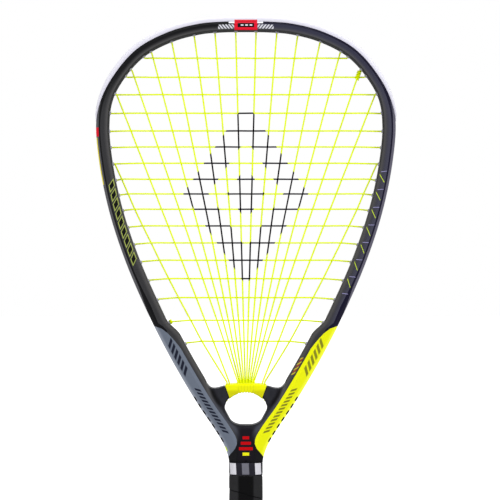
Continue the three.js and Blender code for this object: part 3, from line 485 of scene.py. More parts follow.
def tube(shape, points, radius, sides=10):
    """A round tube along a line, its section carried along without twist."""
    heading = np.gradient(points, axis=0)
    heading /= np.linalg.norm(heading, axis=1)[:, None]
    across = np.cross(heading[0], (0, 1, 0) if abs(heading[0][1]) < 0.9 else (1, 0, 0))
    rings = []
    for point, ahead in zip(points, heading):
        across = across - ahead * (across @ ahead)
        across /= np.linalg.norm(across)
        up = np.cross(ahead, across)
        rings.append([point + radius * (math.cos(a) * across + math.sin(a) * up) for a in turns_of(sides)])
    shape.loft(rings)


# Materials

def tone(red, green, blue):
    """A colour as written in an image, 0 to 255, as linear light."""
    shares = [value / 255 for value in (red, green, blue)]
    return (*[s / 12.92 if s <= 0.04045 else ((s + 0.055) / 1.055) ** 2.4 for s in shares], 1.0)


def arithmetic(operation):
    return lambda first, second: first.nodes.math(operation, first, second)


class Value:
    """What a node puts out, with arithmetic. Masks run from 0 to 1: & is both, | either and ~ the rest."""

    def __init__(self, nodes, socket):
        self.nodes, self.socket = nodes, socket

    __add__, __sub__, __mul__ = arithmetic("ADD"), arithmetic("SUBTRACT"), arithmetic("MULTIPLY")
    __truediv__, __and__, __or__ = arithmetic("DIVIDE"), __mul__, arithmetic("MAXIMUM")

    def __abs__(self):
        return self.nodes.math("ABSOLUTE", self)

    def __invert__(self):
        return self.nodes.math("SUBTRACT", 1.0, self)

    def rise(self, low, high):
        """0 below low, 1 above high and smooth in between; the other way round if high is the lower."""
        ends = (low, high, 0, 1) if low < high else (high, low, 1, 0)
        inputs = dict(zip(("Value", "From Min", "From Max", "To Min", "To Max"), (self, *ends)))
        return self.nodes.node("MapRange", inputs, "Result", interpolation_type="SMOOTHSTEP")

    def crisp(self):
        """1 above zero, with a crisp edge."""
        return self.rise(-PAINT_EDGE, PAINT_EDGE)

    def below(self, top, soft=0.0002):
        return self.rise(top, top - soft)

    def within(self, low, high, soft=0.0003):
        return self.rise(low - soft, low + soft) & self.rise(high + soft, high - soft)

    def stripes(self, pitch, share, soft=0.06):
        """1 over a share of each pitch."""
        saw = self.nodes.math("FRACT", self / pitch)
        return saw.within(0.5 - share / 2, 0.5 + share / 2, soft)


class Nodes:
    """A node tree with short ways to add to it."""

    def __init__(self, tree):
        self.tree = tree

    def node(self, kind, inputs=(), output=0, **settings):
        """Adds a node with its settings and inputs, and gives one of its outputs."""
        node = self.tree.nodes.new("ShaderNode" + kind)
        for name, value in settings.items():
            setattr(node, name, value)
        for socket, value in dict(inputs).items():
            self.feed(value, node.inputs[socket])
        return Value(self, node.outputs[output])

    def feed(self, value, socket):
        if isinstance(value, Value):
            self.tree.links.new(value.socket, socket)
        else:
            socket.default_value = value

    def math(self, operation, first, second=0.0):
        return self.node("Math", {0: first, 1: second}, operation=operation)

    def seen_plainly(self):
        """1 for what the camera sees, itself or in a mirror or through glass."""
        kinds = ("Camera", "Glossy", "Transmission")
        camera, mirror, glass = (self.node("LightPath", output=f"Is {kind} Ray") for kind in kinds)
        return camera | mirror | glass


class Paint(Nodes):
    """A material, with its shader's settings by name."""

    def __init__(self, name, **settings):
        self.material = bpy.data.materials.new(name)
        self.material.use_nodes = True
        super().__init__(self.material.node_tree)
        self.shader = self.tree.nodes["Principled BSDF"].inputs
        for socket, value in settings.items():
            self.shader[socket.replace("_", " ")].default_value = value
        self.position = self.node("NewGeometry", output="Position")

    def mark(self, name):
        return self.node("Attribute", output="Fac", attribute_name=name)

    def axes(self):
        return [self.node("SeparateXYZ", {0: self.position}, index) for index in range(3)]

    def noise(self, size, detail):
        """Noise whose features are about size across."""
        return self.node("TexNoise", {"Scale": 1 / size, "Detail": detail, "Vector": self.position}, "Fac")

    def cells(self, size):
        return self.node("TexVoronoi", {"Scale": 1 / size, "Vector": self.position}, "Distance")

    def mix(self, mask, first, second):
        return self.node("Mix", {0: mask, 6: first, 7: second}, 2, data_type="RGBA")

    def layers(self, colour, *layers):
        """A colour with others laid over it in turn, each a mask and a colour."""
        for mask, shade in layers:
            colour = self.mix(mask, colour, shade)
        return colour

    def finish(self, colour, dull, roughness, *bumps):
        """Feeds the shader. A bump is a value and how many metres it stands for."""
        self.feed(colour, self.shader["Base Color"])
        inputs = dict(zip(("Value", "To Min", "To Max"), (dull, *roughness)))
        self.feed(self.node("MapRange", inputs, "Result"), self.shader["Roughness"])
        below = {}
        for height, distance in bumps:
            inputs = {"Strength": 1.0, "Distance": distance, "Height": height, **below}
            below = {"Normal": self.node("Bump", inputs, "Normal")}
        for socket, normal in below.items():
            self.feed(normal, self.shader[socket])
        return self.material


# The second graphite is lighter as a painted highlight on rounded inner edges
GRAPHITE, GRAPHITE_EDGE_HIGHLIGHT, BLACK = tone(51, 51, 53), tone(76, 75, 76), tone(8, 8, 11)
RED, DEEP_RED, WHITE, PALE, GREY = (
    tone(214, 20, 44), tone(184, 3, 12), tone(238, 238, 244), tone(204, 203, 210), tone(104, 104, 114)
)
LAVENDER, LIME, OLIVE = tone(150, 146, 190), tone(206, 232, 40), tone(152, 164, 80)
# The outer strip's grey, and the same grey tinted blue on the right as a painted reflection
STRIP_GREY_AND_RIGHT_REFLECTION = tone(84, 84, 88), tone(92, 90, 104)

# The panels on the left and right arm: colour, colour at the outer edge (a painted highlight on the rounded
# edge), and print
PANELS = [
    (tone(104, 112, 126), tone(140, 146, 158), tone(24, 28, 44)),
    (tone(228, 232, 10), tone(242, 247, 60), tone(132, 132, 30)),
]

# How far yellow and pale plastic scatter red, green and blue light
YELLOW_SCATTER, PALE_SCATTER = (0.002, 0.002, 0.0006), (0.001, 0.001, 0.001)

# Print in stripes: the heights it fills, its rows inwards, the share of each pitch that is printed, and the
# lean, which is what the stripes' line adds to the distance from the crown
ARM_BARS = dict(pitch=0.0056, heights=(0.2390, 0.2700), lean=0.005, share=0.62, rows=(0.0032, 0.0090))
ARM_BLOCKS = dict(pitch=0.0040, heights=(0.1850, 0.2262), lean=-0.007, share=0.62, rows=(0.0050, 0.0090))
EDGE_TICKS = dict(
    pitch=0.0072, heights=(0.1800, 0.2240), lean=0, share=0.6,
    rows=(-CHANNEL_DEPTH, 0.00145), row_soft=0.00025,
)
LINKS = dict(
    pitch=0.0086, heights=(row_height(268), row_height(186)), lean=0.0076, share=0.80,
    rows=(0.0049, 0.0104), soft=0.02, row_soft=0.0001,
)
LINK_HOLES = dict(LINKS, share=0.58, rows=(0.0057, 0.0096))
STROKES = dict(
    pitch=0.0165, heights=(row_height(300), row_height(163)), lean=0.0086, share=0.045,
    rows=(0.0046, 0.0098), soft=0.01, row_soft=0.0001,
)
CROSS_STROKES = dict(STROKES, lean=-0.0015, share=0.03, rows=(0.0040, 0.0090))

# Other print: heights by the photograph, and the label at the crown by its half widths and rows inwards
DECAL = (row_height(374), row_height(357))
RED_PATCH = (row_height(137), row_height(128))
YELLOW_LINE = (row_height(185), row_height(138))
LABEL_HALF, LABEL_FOOT, LABEL_TOP = 0.0102, 0.0091, 0.5557
WING_HALF, WING_FOOT = 0.0153, 0.0031
WINDOW_HALF, WINDOW_ROWS = 0.0074, (0.0028, 0.0066)
SLITS_HALF, SLIT_ROWS, SLIT_PITCH = 0.0058, (0.0042, 0.0052), 0.0039
HATCH, HATCH_ROWS, HATCH_PITCH = (0.0104, 0.0245), (0.0040, 0.0077), 0.0028
NECK_BARS = [
    ((0.1845, 0.1872), 0.0030, DEEP_RED), ((0.1797, 0.1824), 0.0046, DEEP_RED),
    ((0.1749, 0.1776), 0.0062, DEEP_RED), ((0.1701, 0.1728), 0.0030, tone(228, 226, 20)),
]
BADGE_SLANT, BADGE_HEIGHT, BADGE_TOP = 0.05, 0.010, HANDLE - 0.0004
BADGES = [((-0.0140, -0.0086), PALE), ((-0.0034, 0.0028), GREY), ((0.0082, 0.0134), PALE)]
STENCIL_MIDDLE, STENCIL_HALF = 0.402, (0.056, 0.082)
DECAL_PITCH, DECAL_LEAN, DECAL_SHIFT = 0.003, 0.6, 0.0014
GLINT = (0.1735, 0.1775)
LABEL_HEIGHTS = (0.53, 0.531)
PAINT_EDGE, MIDLINE = 0.00012, (-0.0001, 0.0001)

# Heights between which painted light comes in: painted shade at the frame's crown, on its upper inner wall
# and on its neck, a painted blue reflection on its right side, a painted highlight on the yoke's shoulders,
# and painted shade on the yoke's neck and in its creases
CROWN_PAINTED_SHADE, UPPER_WALL_PAINTED_SHADE, RIGHT_PAINTED_REFLECTION, NECK_PAINTED_SHADE = (0.470, 0.515), (0.36, 0.46), (0.26, 0.30), (0.186, 0.180)
SHOULDER_PAINTED_HIGHLIGHT, YOKE_NECK_PAINTED_SHADE = (0.228, 0.212), (0.195, 0.180)
CREASE_SHADE_FOOT, CREASE_SHADE_HEAD = (0.208, 0.217), (0.232, 0.226)


def band(line, inwards, pitch, heights, lean, share, rows, soft=0.06, row_soft=0.0003):
    """Stripes along a line, in whole pitches, so that none is cut."""
    low, high = (pitch * round((distance_at(height) + lean) / pitch) for height in reversed(heights))
    return line.within(low, high) & line.stripes(pitch, share, soft) & inwards.within(*rows, row_soft)


def panel_colour(paint, run, inwards, right):
    """The panels: grey on the left, yellow on the right, paler at the edge as a painted highlight, with bars
    and blocks.
    """
    # Painted highlight towards the rounded outer edge
    outwards = inwards.rise(0.0036, 0.0008)
    printed = band(run + inwards, inwards, **ARM_BARS) | band(run - inwards, inwards, **ARM_BLOCKS)
    sides = [paint.layers(colour, (outwards, edge), (printed, ink)) for colour, edge, ink in PANELS]
    return paint.mix(right, *sides)


def side_prints(run, inwards, inner, right, x, z):
    """Ticks and a glint at the outer edge, links on the left, strokes and a decal on the right, two marks."""
    left = ~right
    slant = run + inwards
    links, holes = left & band(slant, inwards, **LINKS), band(slant, inwards, **LINK_HOLES)
    turns = z - x * DECAL_LEAN
    decal = z.within(*DECAL) & right & inner.within(0.0008, 0.0030)
    return [
        (band(run, inwards, **EDGE_TICKS), BLACK),
        (z.within(*GLINT) & left & inwards.rise(0.0012, 0.0008), LIME),
        (links & ~holes, OLIVE), (links & holes, BLACK),
        (right & band(run + inwards * 1.2, inwards, **STROKES), LIME),
        (right & band(run - inwards * 0.3 + 0.0005, inwards, **CROSS_STROKES), LAVENDER),
        (decal & turns.stripes(DECAL_PITCH, 0.34), tone(196, 180, 40)),
        (decal & (turns + DECAL_SHIFT).stripes(DECAL_PITCH, 0.3), tone(160, 50, 38)),
        (z.within(*RED_PATCH) & left & inwards.rise(0.0026, 0.0023), RED),
        (z.within(*YELLOW_LINE) & left & inwards.within(0.0001, 0.0009, 0.0001), tone(232, 216, 40)),
    ]


def crown_prints(paint, inwards, x, z):
    """The label at the crown: a red badge, a black window with white slits, and hatched white wings."""
    span, crown = abs(x), z.rise(*LABEL_HEIGHTS)
    wing = crown & span.below(WING_HALF) & inwards.below(WING_FOOT)
    hatch = crown & span.within(*HATCH) & inwards.within(*HATCH_ROWS, 0.0001)
    window = span.below(WINDOW_HALF) & inwards.within(*WINDOW_ROWS, 0.0001)
    slits = span.below(SLITS_HALF) & inwards.within(*SLIT_ROWS, 0.0001)
    badge = crown & span.below(LABEL_HALF) & inwards.below(LABEL_FOOT)
    slits = slits & (x + SLIT_PITCH / 3).stripes(SLIT_PITCH, 0.6)
    printed = paint.layers(RED, (window, BLACK), (slits, WHITE))
    hatch = hatch & (span + inwards * 0.8).stripes(HATCH_PITCH, 0.6)
    return [(wing, WHITE), (hatch, tone(205, 205, 214)), (badge, printed)]


def frame_paint():
    """Clear-coated graphite: black line, grey outer strip, panels on the arms and plain print; painted
    highlight at the inner edge, painted shade at the crown, on the upper inner wall and on the neck, painted
    blue reflection on the right.
    """
    paint = Paint("painted_graphite", Specular_IOR_Level=0.07)
    run, inwards, inner, panel, line, strip = map(paint.mark, FRAME_MARKS)
    x, _, z = paint.axes()
    right = x.rise(*MIDLINE)
    grain = paint.noise(0.006, 4)
    on_panel = panel.crisp()
    colour = paint.layers(
        # Graphite, lighter towards the rounded inner edge as a painted highlight
        GRAPHITE, (inner.rise(0.0045, 0.0008), GRAPHITE_EDGE_HIGHLIGHT),
        # Painted shade over the outer face at the crown
        ((z.rise(*CROWN_PAINTED_SHADE) & inner.rise(0.0005, 0.0048)) * 0.92, tone(10, 10, 13)),
        # Painted shade on the inner wall in the upper head
        (inner.rise(0.0012, 0.0001) & z.rise(*UPPER_WALL_PAINTED_SHADE), tone(50, 50, 52)),
        (grain * 0.15, BLACK),
        # Painted blue reflection on the right side's face
        ((right & z.rise(*RIGHT_PAINTED_REFLECTION) & inwards.rise(0.0100, 0.0050)) * 0.3, tone(84, 84, 112)),
        # Painted shade on the neck
        (z.rise(*NECK_PAINTED_SHADE), tone(12, 12, 16)),
        # The black line and the outer strip; their right copies tinted blue as a painted reflection
        (line.crisp(), paint.mix(right, BLACK, tone(14, 11, 34))),
        (strip.crisp(), paint.mix(right, *STRIP_GREY_AND_RIGHT_REFLECTION)),
        (on_panel, panel_colour(paint, run, inwards, right)),
        *side_prints(run, inwards, inner, right, x, z), *crown_prints(paint, inwards, x, z),
    )
    dull = grain * 0.2 | inner.rise(0.0015, 0.0003)
    return paint.finish(colour, dull, (0.34, 0.95), (paint.noise(0.0009, 2), 0.000006), (on_panel, 0.00004))


def yoke_paint():
    """Satin black with a faint moulded grain, greyer where it meets the arms, and plain bars on the neck;
    painted highlight at the arms' edge and on the shoulders, painted shade in the creases and on the neck.
    """
    paint = Paint("satin_black", Specular_IOR_Level=0.06)
    beyond, panel = map(paint.mark, ("beyond", "panel"))
    x, _, z = paint.axes()
    span, grain = abs(x), paint.noise(0.004, 4)
    # Painted shade in the creases beside the arms
    crease = z.rise(*CREASE_SHADE_FOOT) & z.rise(*CREASE_SHADE_HEAD)
    crease = crease & beyond.rise(-0.0002, 0.0014) & beyond.rise(0.0062, 0.0024)
    web = paint.layers(tone(31, 31, 37), (grain, tone(44, 45, 50)), (crease, tone(8, 8, 10)))
    # The arms' graphite, lighter at their rounded edge and on the shoulders low down, both painted highlight
    face = paint.layers(
        GRAPHITE, (beyond.rise(-0.0045, -0.0008), GRAPHITE_EDGE_HIGHLIGHT), (z.rise(*SHOULDER_PAINTED_HIGHLIGHT), tone(64, 66, 74))
    )
    bars = [(z.within(*ends, 0.0001) & span.below(half), shade) for ends, half, shade in NECK_BARS]
    colour = paint.layers(
        # The web over the face, then painted shade on the neck and in its middle below the opening
        face, (beyond.rise(-0.0008, 0.0026), web), (z.rise(*YOKE_NECK_PAINTED_SHADE), tone(15, 14, 19)),
        (span.rise(0.0095, 0.0035) & z.rise(0.1985, 0.192), tone(20, 17, 24)),
        (panel.crisp(), paint.mix(x.rise(*MIDLINE), PANELS[0][0], PANELS[1][0])),
        *bars,
    )
    return paint.finish(colour, grain, (0.36, 0.5), (paint.noise(0.0007, 2), 0.00001))


def insert_paint():
    """Yellow plastic with painted shade low at the sides and in the flutes between the middle strings, and a
    painted highlight along the top.
    """
    settings = {"Specular_IOR_Level": 0.1, "Subsurface_Weight": 0.08, "Subsurface_Radius": YELLOW_SCATTER}
    paint = Paint("yellow_plastic", **settings)
    x, _, z = paint.axes()
    span, cloud = abs(x), paint.noise(0.005, 3)
    # Painted shade low at the sides
    low = z.rise(THROAT_TOP + 0.0034, THROAT_TOP + 0.0002) & span.rise(0.0038, 0.0066)
    # The flutes, darkened a little in the colour as painted shade
    flutes = x.stripes(2 * BRIDGE_PITCH, 0.5, 0.2) & span.rise(0.0086, 0.0082)
    colour = paint.layers(
        tone(231, 233, 0), (low * 0.85, tone(190, 188, 0)), (cloud * 0.3, tone(214, 208, 16)),
        (flutes * 0.22, tone(170, 176, 20)),
        # Painted highlight along the top
        (z.rise(INSERT_TOP - 0.0030, INSERT_TOP - 0.0006), tone(247, 249, 0)),
    )
    return paint.finish(colour, cloud, (0.34, 0.5), (paint.noise(0.0008, 2), 0.00001), (flutes, -0.00015))


def bumper_paint():
    """Milky plastic, whiter outside, with the label carried over its lip at the crown."""
    settings = {"Specular_IOR_Level": 0.35, "Subsurface_Weight": 0.05, "Subsurface_Radius": PALE_SCATTER}
    paint = Paint("white_plastic", **settings)
    x, y, z = paint.axes()
    cloud = paint.noise(0.02, 4)
    label = abs(x).below(LABEL_HALF) & z.rise(*LABEL_HEIGHTS) & z.below(LABEL_TOP + 0.0002)
    colour = paint.layers(
        tone(204, 202, 216), (paint.mark("out").rise(-0.0008, 0.0026), tone(232, 231, 240)),
        (cloud * 0.35, tone(222, 221, 230)), (label & abs(y).rise(0.0055, 0.006), RED),
    )
    return paint.finish(colour, cloud, (0.4, 0.55), (paint.noise(0.004, 3), 0.00001))


def string_paint():
    """Coated nylon with painted light at the fan's foot, where the crowded strings shade each other, and a
    black stencil on the bed: two nested diamonds.
    """
    settings = {"Specular_IOR_Level": 0.03, "Subsurface_Weight": 0.1, "Subsurface_Radius": YELLOW_SCATTER}
    paint = Paint("neon_string", **settings)
    x, _, z = paint.axes()
    cloud = paint.noise(0.012, 3)
    size = abs(x) / STENCIL_HALF[0] + abs(z - STENCIL_MIDDLE) / STENCIL_HALF[1]
    ragged = size + paint.noise(0.0015, 1) * 0.012
    colour = paint.layers(
        tone(222, 240, 0), (cloud, tone(234, 250, 8)),
        # Painted light at the fan's foot, lifting the shade of the crowded strings
        (z.rise(INSERT_TOP + 0.022, INSERT_TOP + 0.004), tone(240, 250, 20)),
        (ragged.within(0.6, 1.0, 0.004) | ragged.rise(0.304, 0.296), tone(3, 2, 5)),
    )
    return paint.finish(colour, cloud, (0.62, 0.76), (paint.noise(0.0015, 2), 0.000004))


def grip_paint():
    """Tacky wrap with a fine pebble, a painted highlight on each bevel and a painted shadow under the lap
    that winds up it.
    """
    paint = Paint("grip_wrap", Specular_IOR_Level=0.05, Sheen_Weight=0.22, Sheen_Roughness=0.3)
    x, y, z = paint.axes()
    turn = paint.math("FRACT", z / GRIP_PITCH + paint.math("ARCTAN2", y, x) / (2 * math.pi))
    cloud = paint.noise(0.01, 4)
    # Faces dark, each bevel lighter as a painted highlight
    faces, bevel_highlights = (
        paint.mix(cloud, tone(*first), tone(*second))
        for first, second in (((5, 5, 6), (12, 12, 13)), ((34, 34, 35), (44, 44, 46)))
    )
    # A painted shadow under the lap of each turn
    lap_shadow = turn.rise(0.95, 0.985)
    colour = paint.layers(faces, (abs(x).rise(0.0056, 0.0080), bevel_highlights), (lap_shadow, tone(3, 3, 4)))
    return paint.finish(colour, cloud, (0.6, 0.82), (paint.cells(0.0009), 0.00006))


def collar_paint():
    """Rubber ring with plain slanted badges, two white and one grey, front and back."""
    paint = Paint("collar_rubber", Specular_IOR_Level=0.14)
    x, y, z = paint.axes()
    cloud = paint.noise(0.004, 4)
    slanted = x + z * BADGE_SLANT - BADGE_SLANT * (HANDLE - 0.006)
    rows = z.within(BADGE_TOP - BADGE_HEIGHT, BADGE_TOP, 0.0001)
    rows = rows & abs(y).rise(GRIP_HALF[1] - 0.0048, GRIP_HALF[1] - 0.0046)
    badges = [(rows & slanted.within(*ends, 0.0001), shade) for ends, shade in BADGES]
    colour = paint.layers(tone(14, 13, 20), (cloud, tone(28, 27, 38)), *badges)
    return paint.finish(colour, cloud, (0.42, 0.6), (paint.noise(0.0008, 2), 0.00001))


def plain_paint(name, first, second, size, roughness, bump=None, detail=5, grain=None, **settings):
    """Two shades in clouds of a size, and a bump of a height with a grain of its own (size, detail)."""
    paint = Paint(name, **settings)
    cloud = paint.noise(size, detail)
    bumps = [(paint.noise(*(grain or (size / 4, 3))), bump)] if bump else []
    return paint.finish(paint.mix(cloud, tone(*first), tone(*second)), cloud, roughness, *bumps)


# Frame shell

def paint_bounds(station):
    """Inner edge of the panel, and the black line's outer and inner edge, measured inwards."""
    z = station.point[2]
    if z < STEP_TOP:
        panel = table(PANEL_EDGE, z)
        return panel, max(panel, 0.0), max(panel, 0.0) + table(LINE_BESIDE_PANEL, z)
    return -0.001, table(LINE_OUTER, z), table(LINE_INNER, z)


def frame_section(s):
    return both_faces([
        (s.channel, CHANNEL_HALF, CHANNEL_ROUNDING), (0, CHANNEL_HALF, CHANNEL_ROUNDING),
        (0, s.half_depth - s.drop, EDGE_ROUNDING), (s.bevel, s.half_depth, BEVEL_ROUNDING),
        (s.width, s.half_depth, s.rounding),
    ])


def frame_marks(station, section):
    """What the paint reads at a section: distances along and across, and past each painted edge."""
    panel, outer, inner = paint_bounds(station)
    across = np.array([u for u, _ in section])
    run = np.full(len(section), station.distance)
    line = np.minimum(across - outer, inner - across)
    strip = outer - across if station.point[2] > STEP_TOP else np.full(len(section), -1.0)
    return dict(zip(FRAME_MARKS, (run, across, station.width - across, panel - across, line, strip)))


def make_frame(material):
    halves = []
    for side in (-1, 1):
        legs = [leg_station(NECK_HALF, HANDLE + GAP, ARM_HALF_DEPTH, side)]
        legs += [leg_station(LEG_HALF[0], height, LEG_HALF[1], side) for height in (HANDLE, LEG_END)]
        halves.append([Station(distance, side) for distance in steps_between(0, NECK_END, RING_STEP)] + legs)
    stations = halves[0][:0:-1] + halves[1]
    sections = [frame_section(station) for station in stations]
    shape = Shape(FRAME_MARKS)
    marks = [frame_marks(station, section) for station, section in zip(stations, sections)]
    shape.loft(list(map(Station.ring, stations, sections)), marks=marks)
    return shape.build("frame_shell", material)


# Holes of the strings

def cross_distance(height):
    """Distance of the hole whose string leaves its mouth just below a height."""
    return distance_where(lambda s: s.mouth(0)[2] + table(END_DROPS, height) - height)


CROSS_HEIGHTS = [height_of(share) for share in CROSS_SHARES]
CROSS_DISTANCES = [cross_distance(height) for height in CROSS_HEIGHTS]
TOP_DISTANCES = [distance_where(lambda s, t=t: t * HEAD_HALF - s.at(s.width, 0)[0]) for t in MAIN_TOP_SHARES]
MAIN_DISTANCES = TOP_DISTANCES + [CROSS_DISTANCES[n - 1] for n in SHARED_CROSSES]
BUMPER_END_DISTANCE = distance_at(BUMPER_END)
STRIP_END_DISTANCE = CROSS_DISTANCES[-1] + BARREL_RADIUS + STRIP_END_MARGIN
TAIL_START, TAIL_END = TOP_DISTANCES[TIE_OFF_MAIN - 1], CROSS_DISTANCES[TIE_OFF_CROSS - 1]


def holes_of(side):
    """Each hole of one side: its distance, and the middle and half the spread of its rows of strings."""
    held = [(distance, -ROW_OFFSET) for distance in MAIN_DISTANCES]
    held += [(distance, ROW_OFFSET) for distance in CROSS_DISTANCES]
    held.append((TAIL_START, ROW_OFFSET) if side > 0 else (TAIL_END, -ROW_OFFSET))
    rows = {}
    for distance, row in held:
        rows.setdefault(distance, []).append(row)
    return [(d, (min(rs) + max(rs)) / 2, (max(rs) - min(rs)) / 2) for d, rs in rows.items()]


def barrel(shape, station, middle, spread):
    """A grommet's tube: a ring with a rounded mouth, standing out of the frame's inner face."""
    face, mouth = station.width, station.width + BARREL_REACH
    profile = [
        (face - 0.0012, BARREL_RADIUS + 0.0001), (face, BARREL_RADIUS + 0.0001),
        (mouth - 0.0002, BARREL_RADIUS), (mouth, BARREL_RADIUS - 0.0002), (mouth, BORE_RADIUS + 0.0001),
        (mouth - 0.0002, BORE_RADIUS), (face - 0.0008, BORE_RADIUS - 0.0001), (face - 0.0009, 0.0001),
    ]
    rings = []
    for depth, radius in profile:
        ring = []
        for angle in turns_of(BARREL_SIDES):
            stretch = math.copysign(spread, math.sin(angle)) if spread else 0.0
            back = middle + stretch + radius * math.sin(angle)
            ring.append(station.at(depth, back, radius * math.cos(angle)))
        rings.append(ring)
    shape.loft(rings, 1)


def add_barrels(shape, side, on_bumper):
    for distance, middle, spread in holes_of(side):
        if (distance < BUMPER_END_DISTANCE) == on_bumper:
            barrel(shape, Station(distance, side), middle, spread)


def bumper_section(station):
    to_end = BUMPER_END_DISTANCE - station.distance
    share = (CROWN - station.point[2]) / (CROWN - BUMPER_END)
    body = BUMPER_THICKNESS + (BUMPER_END_THICKNESS - BUMPER_THICKNESS) * share**3
    top = -ease(BUMPER_TIP_THICKNESS, body, to_end / TIP_LENGTH)
    wrap = ease(BUMPER_END_WRAP, BUMPER_WRAP, to_end / WRAP_LENGTH)
    skin, edge = BUMPER_SKIN, station.half_depth - station.drop
    slope = station.drop / station.bevel
    return both_faces([
        (STRIP_BACK, STRIP_HALF, 0.0002), (-skin, STRIP_HALF, 0.0002), (-skin, edge, 0.0003),
        (wrap, edge + slope * wrap + 1.5 * skin, 0.0001),
        (wrap - 0.7 * BUMPER_LIP, edge + slope * wrap + 0.7 * BUMPER_LIP, 0.0002),
        (top / 2, edge + 0.0013, 0.0014), (top, BUMPER_HALF - BUMPER_ROUNDING, BUMPER_ROUNDING),
        (top, GROOVE_HALF, 0.0004), (STRIP_FACE, GROOVE_HALF, 0.0003),
    ])


def make_bumper(material, grommet):
    run = steps_between(0, BUMPER_END_DISTANCE, RING_STEP / 1.5)
    stations = [Station(d, -1) for d in run[:0:-1]] + [Station(d, 1) for d in run]
    sections = [bumper_section(station) for station in stations]
    shape = Shape(("out",))
    marks = [{"out": [-u for u, _ in section]} for section in sections]
    shape.loft(list(map(Station.ring, stations, sections)), marks=marks)
    for side in (-1, 1):
        add_barrels(shape, side, True)
    return shape.build("bumper_skin", material, grommet)


def make_strip(side, name, material, grommet):
    corners = [(STRIP_BACK, STRIP_HALF), (0.0, STRIP_HALF), (0.0, GROOVE_HALF), (STRIP_FACE, GROOVE_HALF)]
    section = both_faces([(u, v, 0.0002) for u, v in corners])
    run = steps_between(BUMPER_END_DISTANCE + 0.0006, STRIP_END_DISTANCE, RING_STEP)
    shape = Shape()
    shape.loft([Station(distance, side).ring(section) for distance in run])
    add_barrels(shape, side, False)
    return shape.build(name, material, grommet)


# Throat

def throat_roof(x, reach=0.0):
    share = min(abs(x) / THROAT_HALF_WIDTH, 1.0)
    return THROAT_MIDDLE + (THROAT_HALF_HEIGHT + ROOF_LIFT) * math.sqrt(1 - share**2) - reach


def throat_outline():
    """The opening: half an ellipse above, and straight sides down to a rounded sill."""
    spans = [THROAT_HALF_WIDTH * math.cos(a) for a in np.linspace(ROOF_END, math.pi - ROOF_END, 70)]
    roof = [(x, throat_roof(x)) for x in spans]
    shoulder = (THROAT_SHOULDER[0], THROAT_MIDDLE + THROAT_SHOULDER[1])
    right = [roof[0], shoulder, *[(x, THROAT_BOTTOM + rise) for x, rise in THROAT_CORNERS]]
    low = [(-x, z, SILL_ROUNDING) for x, z in right] + [(x, z, SILL_ROUNDING) for x, z in reversed(right)]
    return [*roof, *[tuple(p) for p in rounded(low, 8)[9:-9]]]


def nearest(line, points):
    """For each point (x, z) of either half: the line's closest point, by number, and the distance."""
    tree = KDTree(len(line))
    for index, (x, z) in enumerate(line):
        tree.insert((x, 0, z), index)
    tree.balance()
    return [tree.find((abs(x), 0, z))[1:] for x, z in points]


def past_edges(points):
    """How far each point (x, z) lies inside the arm's inner edge, and outside the panel's inner edge."""
    widths = [width_at(z, x) for x, z in ARM_LINE]
    edges = [table(PANEL_EDGE, z) for _, z in ARM_LINE]
    found = nearest(ARM_LINE, points)
    beyond = np.array([distance - widths[index] for index, distance in found])
    return beyond, np.array([edges[index] - distance for index, distance in found])


def yoke_depth(points, opening):
    """Half the yoke's depth at points (x, z): level with the arms, sunk between, rolled at the opening."""
    x, z = np.abs([p[0] for p in points]), np.array([p[1] for p in points])
    beyond, _ = past_edges(points)
    rim = np.array([distance for _, distance in nearest([p for p in opening if p[0] > -0.002], points)])
    arm = ease(NECK_HALF_DEPTH, CORNER_HALF_DEPTH, (z - YOKE_TOP + 0.001) / CORNER_RISE)
    crease = past(z, *CREASE_COMES) * (1 - past(z, *CREASE_GOES))
    crease *= past(beyond, *CREASE_NEAR) * (1 - past(beyond, *CREASE_FAR))
    web = YOKE_HALF_DEPTH - CREASE_DEPTH * crease
    depth = arm + (web - arm) * past(beyond, *WEB_NEAR)
    depth = ease(NECK_HALF_DEPTH, depth, (z - NECK_SLOPE[0]) / (NECK_SLOPE[1] - NECK_SLOPE[0]))
    depth += RIM_HEIGHT * (1 - past(rim, *RIM_GOES)) * past(beyond, *RIM_NEAR)
    depth -= RIM_ROLL * np.clip(1 - rim / RIM_REACH, 0, 1) ** 2
    under_insert = (z > INSERT_FOOT[1]) & (x < INSERT_FOOT[0] + INSERT_SLOPE * (z - INSERT_FOOT[1]) - 0.0006)
    return np.where(under_insert, BAR_HALF, depth)


def yoke_edge():
    """The right half of the yoke's outer edge: from the insert round the corner and down by the panel."""
    start = INSERT_HALF + GAP
    station = Station(distance_where(lambda s: s.at(s.width, 0)[2] - (YOKE_TOP + CORNER_RISE)))
    reach = station.at(station.width, 0)[0] - start
    corner = [(start + a * reach, YOKE_TOP + up * CORNER_RISE) for a, up in YOKE_CORNER_SHARES]
    top = distance_where(lambda s: s.at(s.bevel, 0)[2] - YOKE_TOP - CORNER_RISE)
    arm = []
    for station in map(Station, steps_between(top, NECK_END, 0.0018)):
        edge = max(station.bevel, paint_bounds(station)[0]) + 0.0003
        place = station.at(min(edge, station.width - 0.002), 0)
        arm.append((place[0], place[2]))
    return [(start, BAR_TOP), *map(tuple, even(catmull_rom(corner, 12), 0.0012)), *arm]


